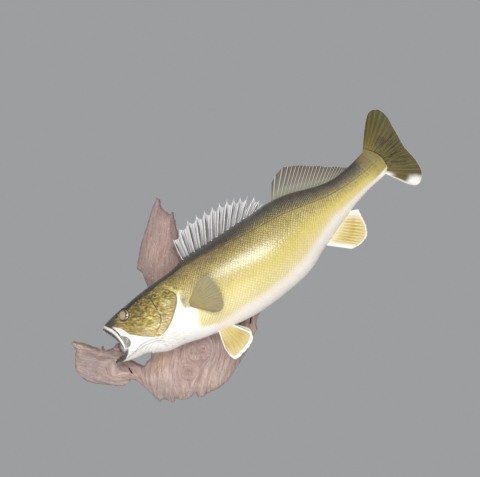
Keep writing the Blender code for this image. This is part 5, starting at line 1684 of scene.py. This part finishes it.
back_points = np.array([tuple(point) for point in back_points])
faces += [tuple(starts[-1] + i for i in reversed(triangle)) for triangle in back_triangles]
wood_points = np.concatenate((wood_points, np.stack(
    (back_points[rim_count:, 0], np.zeros(len(back_points) - rim_count), back_points[rim_count:, 1]), axis=-1
)))

all_x, all_z = wood_points[:, 0], wood_points[:, 2]
all_across, all_along = grained(all_x, all_z)
ring_count = len(wood_points) - len(front)
# how far the grain relief sinks at each point of the front, for the painted shade in its grooves
groove = np.concatenate((coarse * 0.6 + fine * 0.4, np.zeros(ring_count)))
knots = near_knots(all_x, all_z)
upright = ramped(all_z, -0.02, 0.02)
arm_end = ramped(all_x, -0.215, -0.232) * ramped(all_x, -0.262, -0.252)
arm_end = arm_end * ramped(all_z, -0.185, -0.172) * ramped(all_z, -0.112, -0.124)


def paint_wood():
    paint = Paint("weathered_wood", 0.82)
    place = paint.place()
    depth = paint.node("ShaderNodeSeparateXYZ", 1, (), Vector=place)

    def along_grain(across_scale, along_scale, depth_scale):
        return paint.node(
            "ShaderNodeCombineXYZ", 0, (), n0=paint.times(across, across_scale),
            n1=paint.times(along, along_scale), n2=paint.times(depth, depth_scale),
        )

    across, along = paint.field("grain_across"), paint.field("grain_along")
    streaks = paint.noise(along_grain(2.6, 0.22, 60.0), 1.0, detail=4.0, roughness=0.62)
    fibres = paint.noise(along_grain(9.0, 0.45, 160.0), 1.0, detail=4.0, roughness=0.66)
    cloud = paint.noise(place, 15.0, detail=3.0)
    specks = paint.noise(along_grain(5.0, 1.6, 160.0), 1.0, detail=3.0, roughness=0.6)
    colour = paint.ramp(
        paint.sum("ADD", streaks, paint.sum("MULTIPLY_ADD", fibres, 0.40, -0.20)),
        (
            0.28, shade(150, 124, 116)
        ), (0.42, shade(178, 152, 144)), (0.54, shade(194, 168, 158)), (0.72, shade(218, 197, 186)),
    )
    colour = paint.mix(paint.times(paint.step(cloud, 0.50, 0.66), 0.55), colour, shade(160, 147, 146))
    colour = paint.mix(paint.times(paint.step(cloud, 0.42, 0.30), 0.45), colour, shade(190, 152, 126))
    colour = paint.mix(paint.times(paint.field("upright"), 0.60), colour, shade(174, 145, 136))
    # the hollowed end of the arm painted greyer and a little darker: partly its own weathered grey, partly painted
    # shade in the hollow
    colour = paint.mix(paint.times(paint.field("arm_end"), 0.60), colour, shade(162, 147, 150))
    colour = paint.mix(
        paint.times(paint.field("knot"), 0.75), colour,
        paint.ramp(specks, (0.35, shade(136, 110, 104)), (0.6, shade(172, 146, 138))),
    )
    # painted shade: darker where the grain relief sinks into grooves
    groove = paint.step(paint.field("groove"), -0.10, -0.50)
    colour = paint.mix(paint.times(groove, 0.32), colour, shade(120, 94, 86))
    hair = paint.sum(
        "ABSOLUTE", paint.sum("SUBTRACT", paint.noise(along_grain(3.4, 0.10, 40.0), 1.0, detail=2.0), 0.5)
    )
    colour = paint.mix(paint.times(paint.step(hair, 0.014, 0.003), 0.38), colour, shade(96, 74, 68))
    colour = paint.mix(paint.times(paint.step(specks, 0.58, 0.70), 0.60), colour, shade(228, 214, 204))
    colour = paint.mix(paint.times(paint.step(specks, 0.36, 0.28), 0.5), colour, shade(96, 72, 64))
    # painted shade: the carved cracks painted near black
    colour = paint.mix(paint.step(paint.field("crack"), 0.10, 0.70), colour, shade(30, 23, 20))
    height = paint.sum("ADD", streaks, paint.sum("MULTIPLY_ADD", fibres, 0.7, paint.times(specks, 0.3)))
    return paint.finish(colour, None, height, strength=0.55, depth=0.0022)


slab = new_piece(
    "driftwood_slab", wood_points, faces, paint_wood(), grain_across=all_across * 100, grain_along=all_along * 100,
    groove=groove, knot=knots, upright=upright, arm_end=arm_end,
    crack=np.concatenate((np.minimum(1.0, crack_depth / 0.003), np.zeros(ring_count))),
)
front_map = flat_points[np.array(triangles)].reshape(-1, 2)
map_x = (front_map[:, 0] + 0.284) * 1.30 + 0.01
map_z = (front_map[:, 1] + 0.232) * 2.15 + 0.01
strip = np.arange(rim_count)
FOLD = 5
fold = strip * FOLD // rim_count
strip_start = (strip * FOLD % rim_count) / rim_count
side_x, side_z = [], []
for level in range(len(rings)):
    top, bottom = level / len(rings), (level + 1) / len(rings)
    u = 0.57 + 0.41 * np.stack(
        (strip_start, strip_start + FOLD / rim_count, strip_start + FOLD / rim_count, strip_start), axis=-1
    )
    v = 0.01 + (fold[:, None] + 0.9 * np.array((top, top, bottom, bottom))[None]) * 0.10
    side_x.append(u.ravel())
    side_z.append(v.ravel())
back_map = back_points[np.array(back_triangles)[:, ::-1]].reshape(-1, 2)
lay_map(
    slab, np.concatenate((map_x, *side_x, (back_map[:, 0] + 0.284) * 0.9 + 0.57)),
    np.concatenate((map_z, *side_z, (back_map[:, 1] + 0.232) * 0.9 + 0.55)),
)
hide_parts("driftwood")

# ==== closing
low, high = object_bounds()
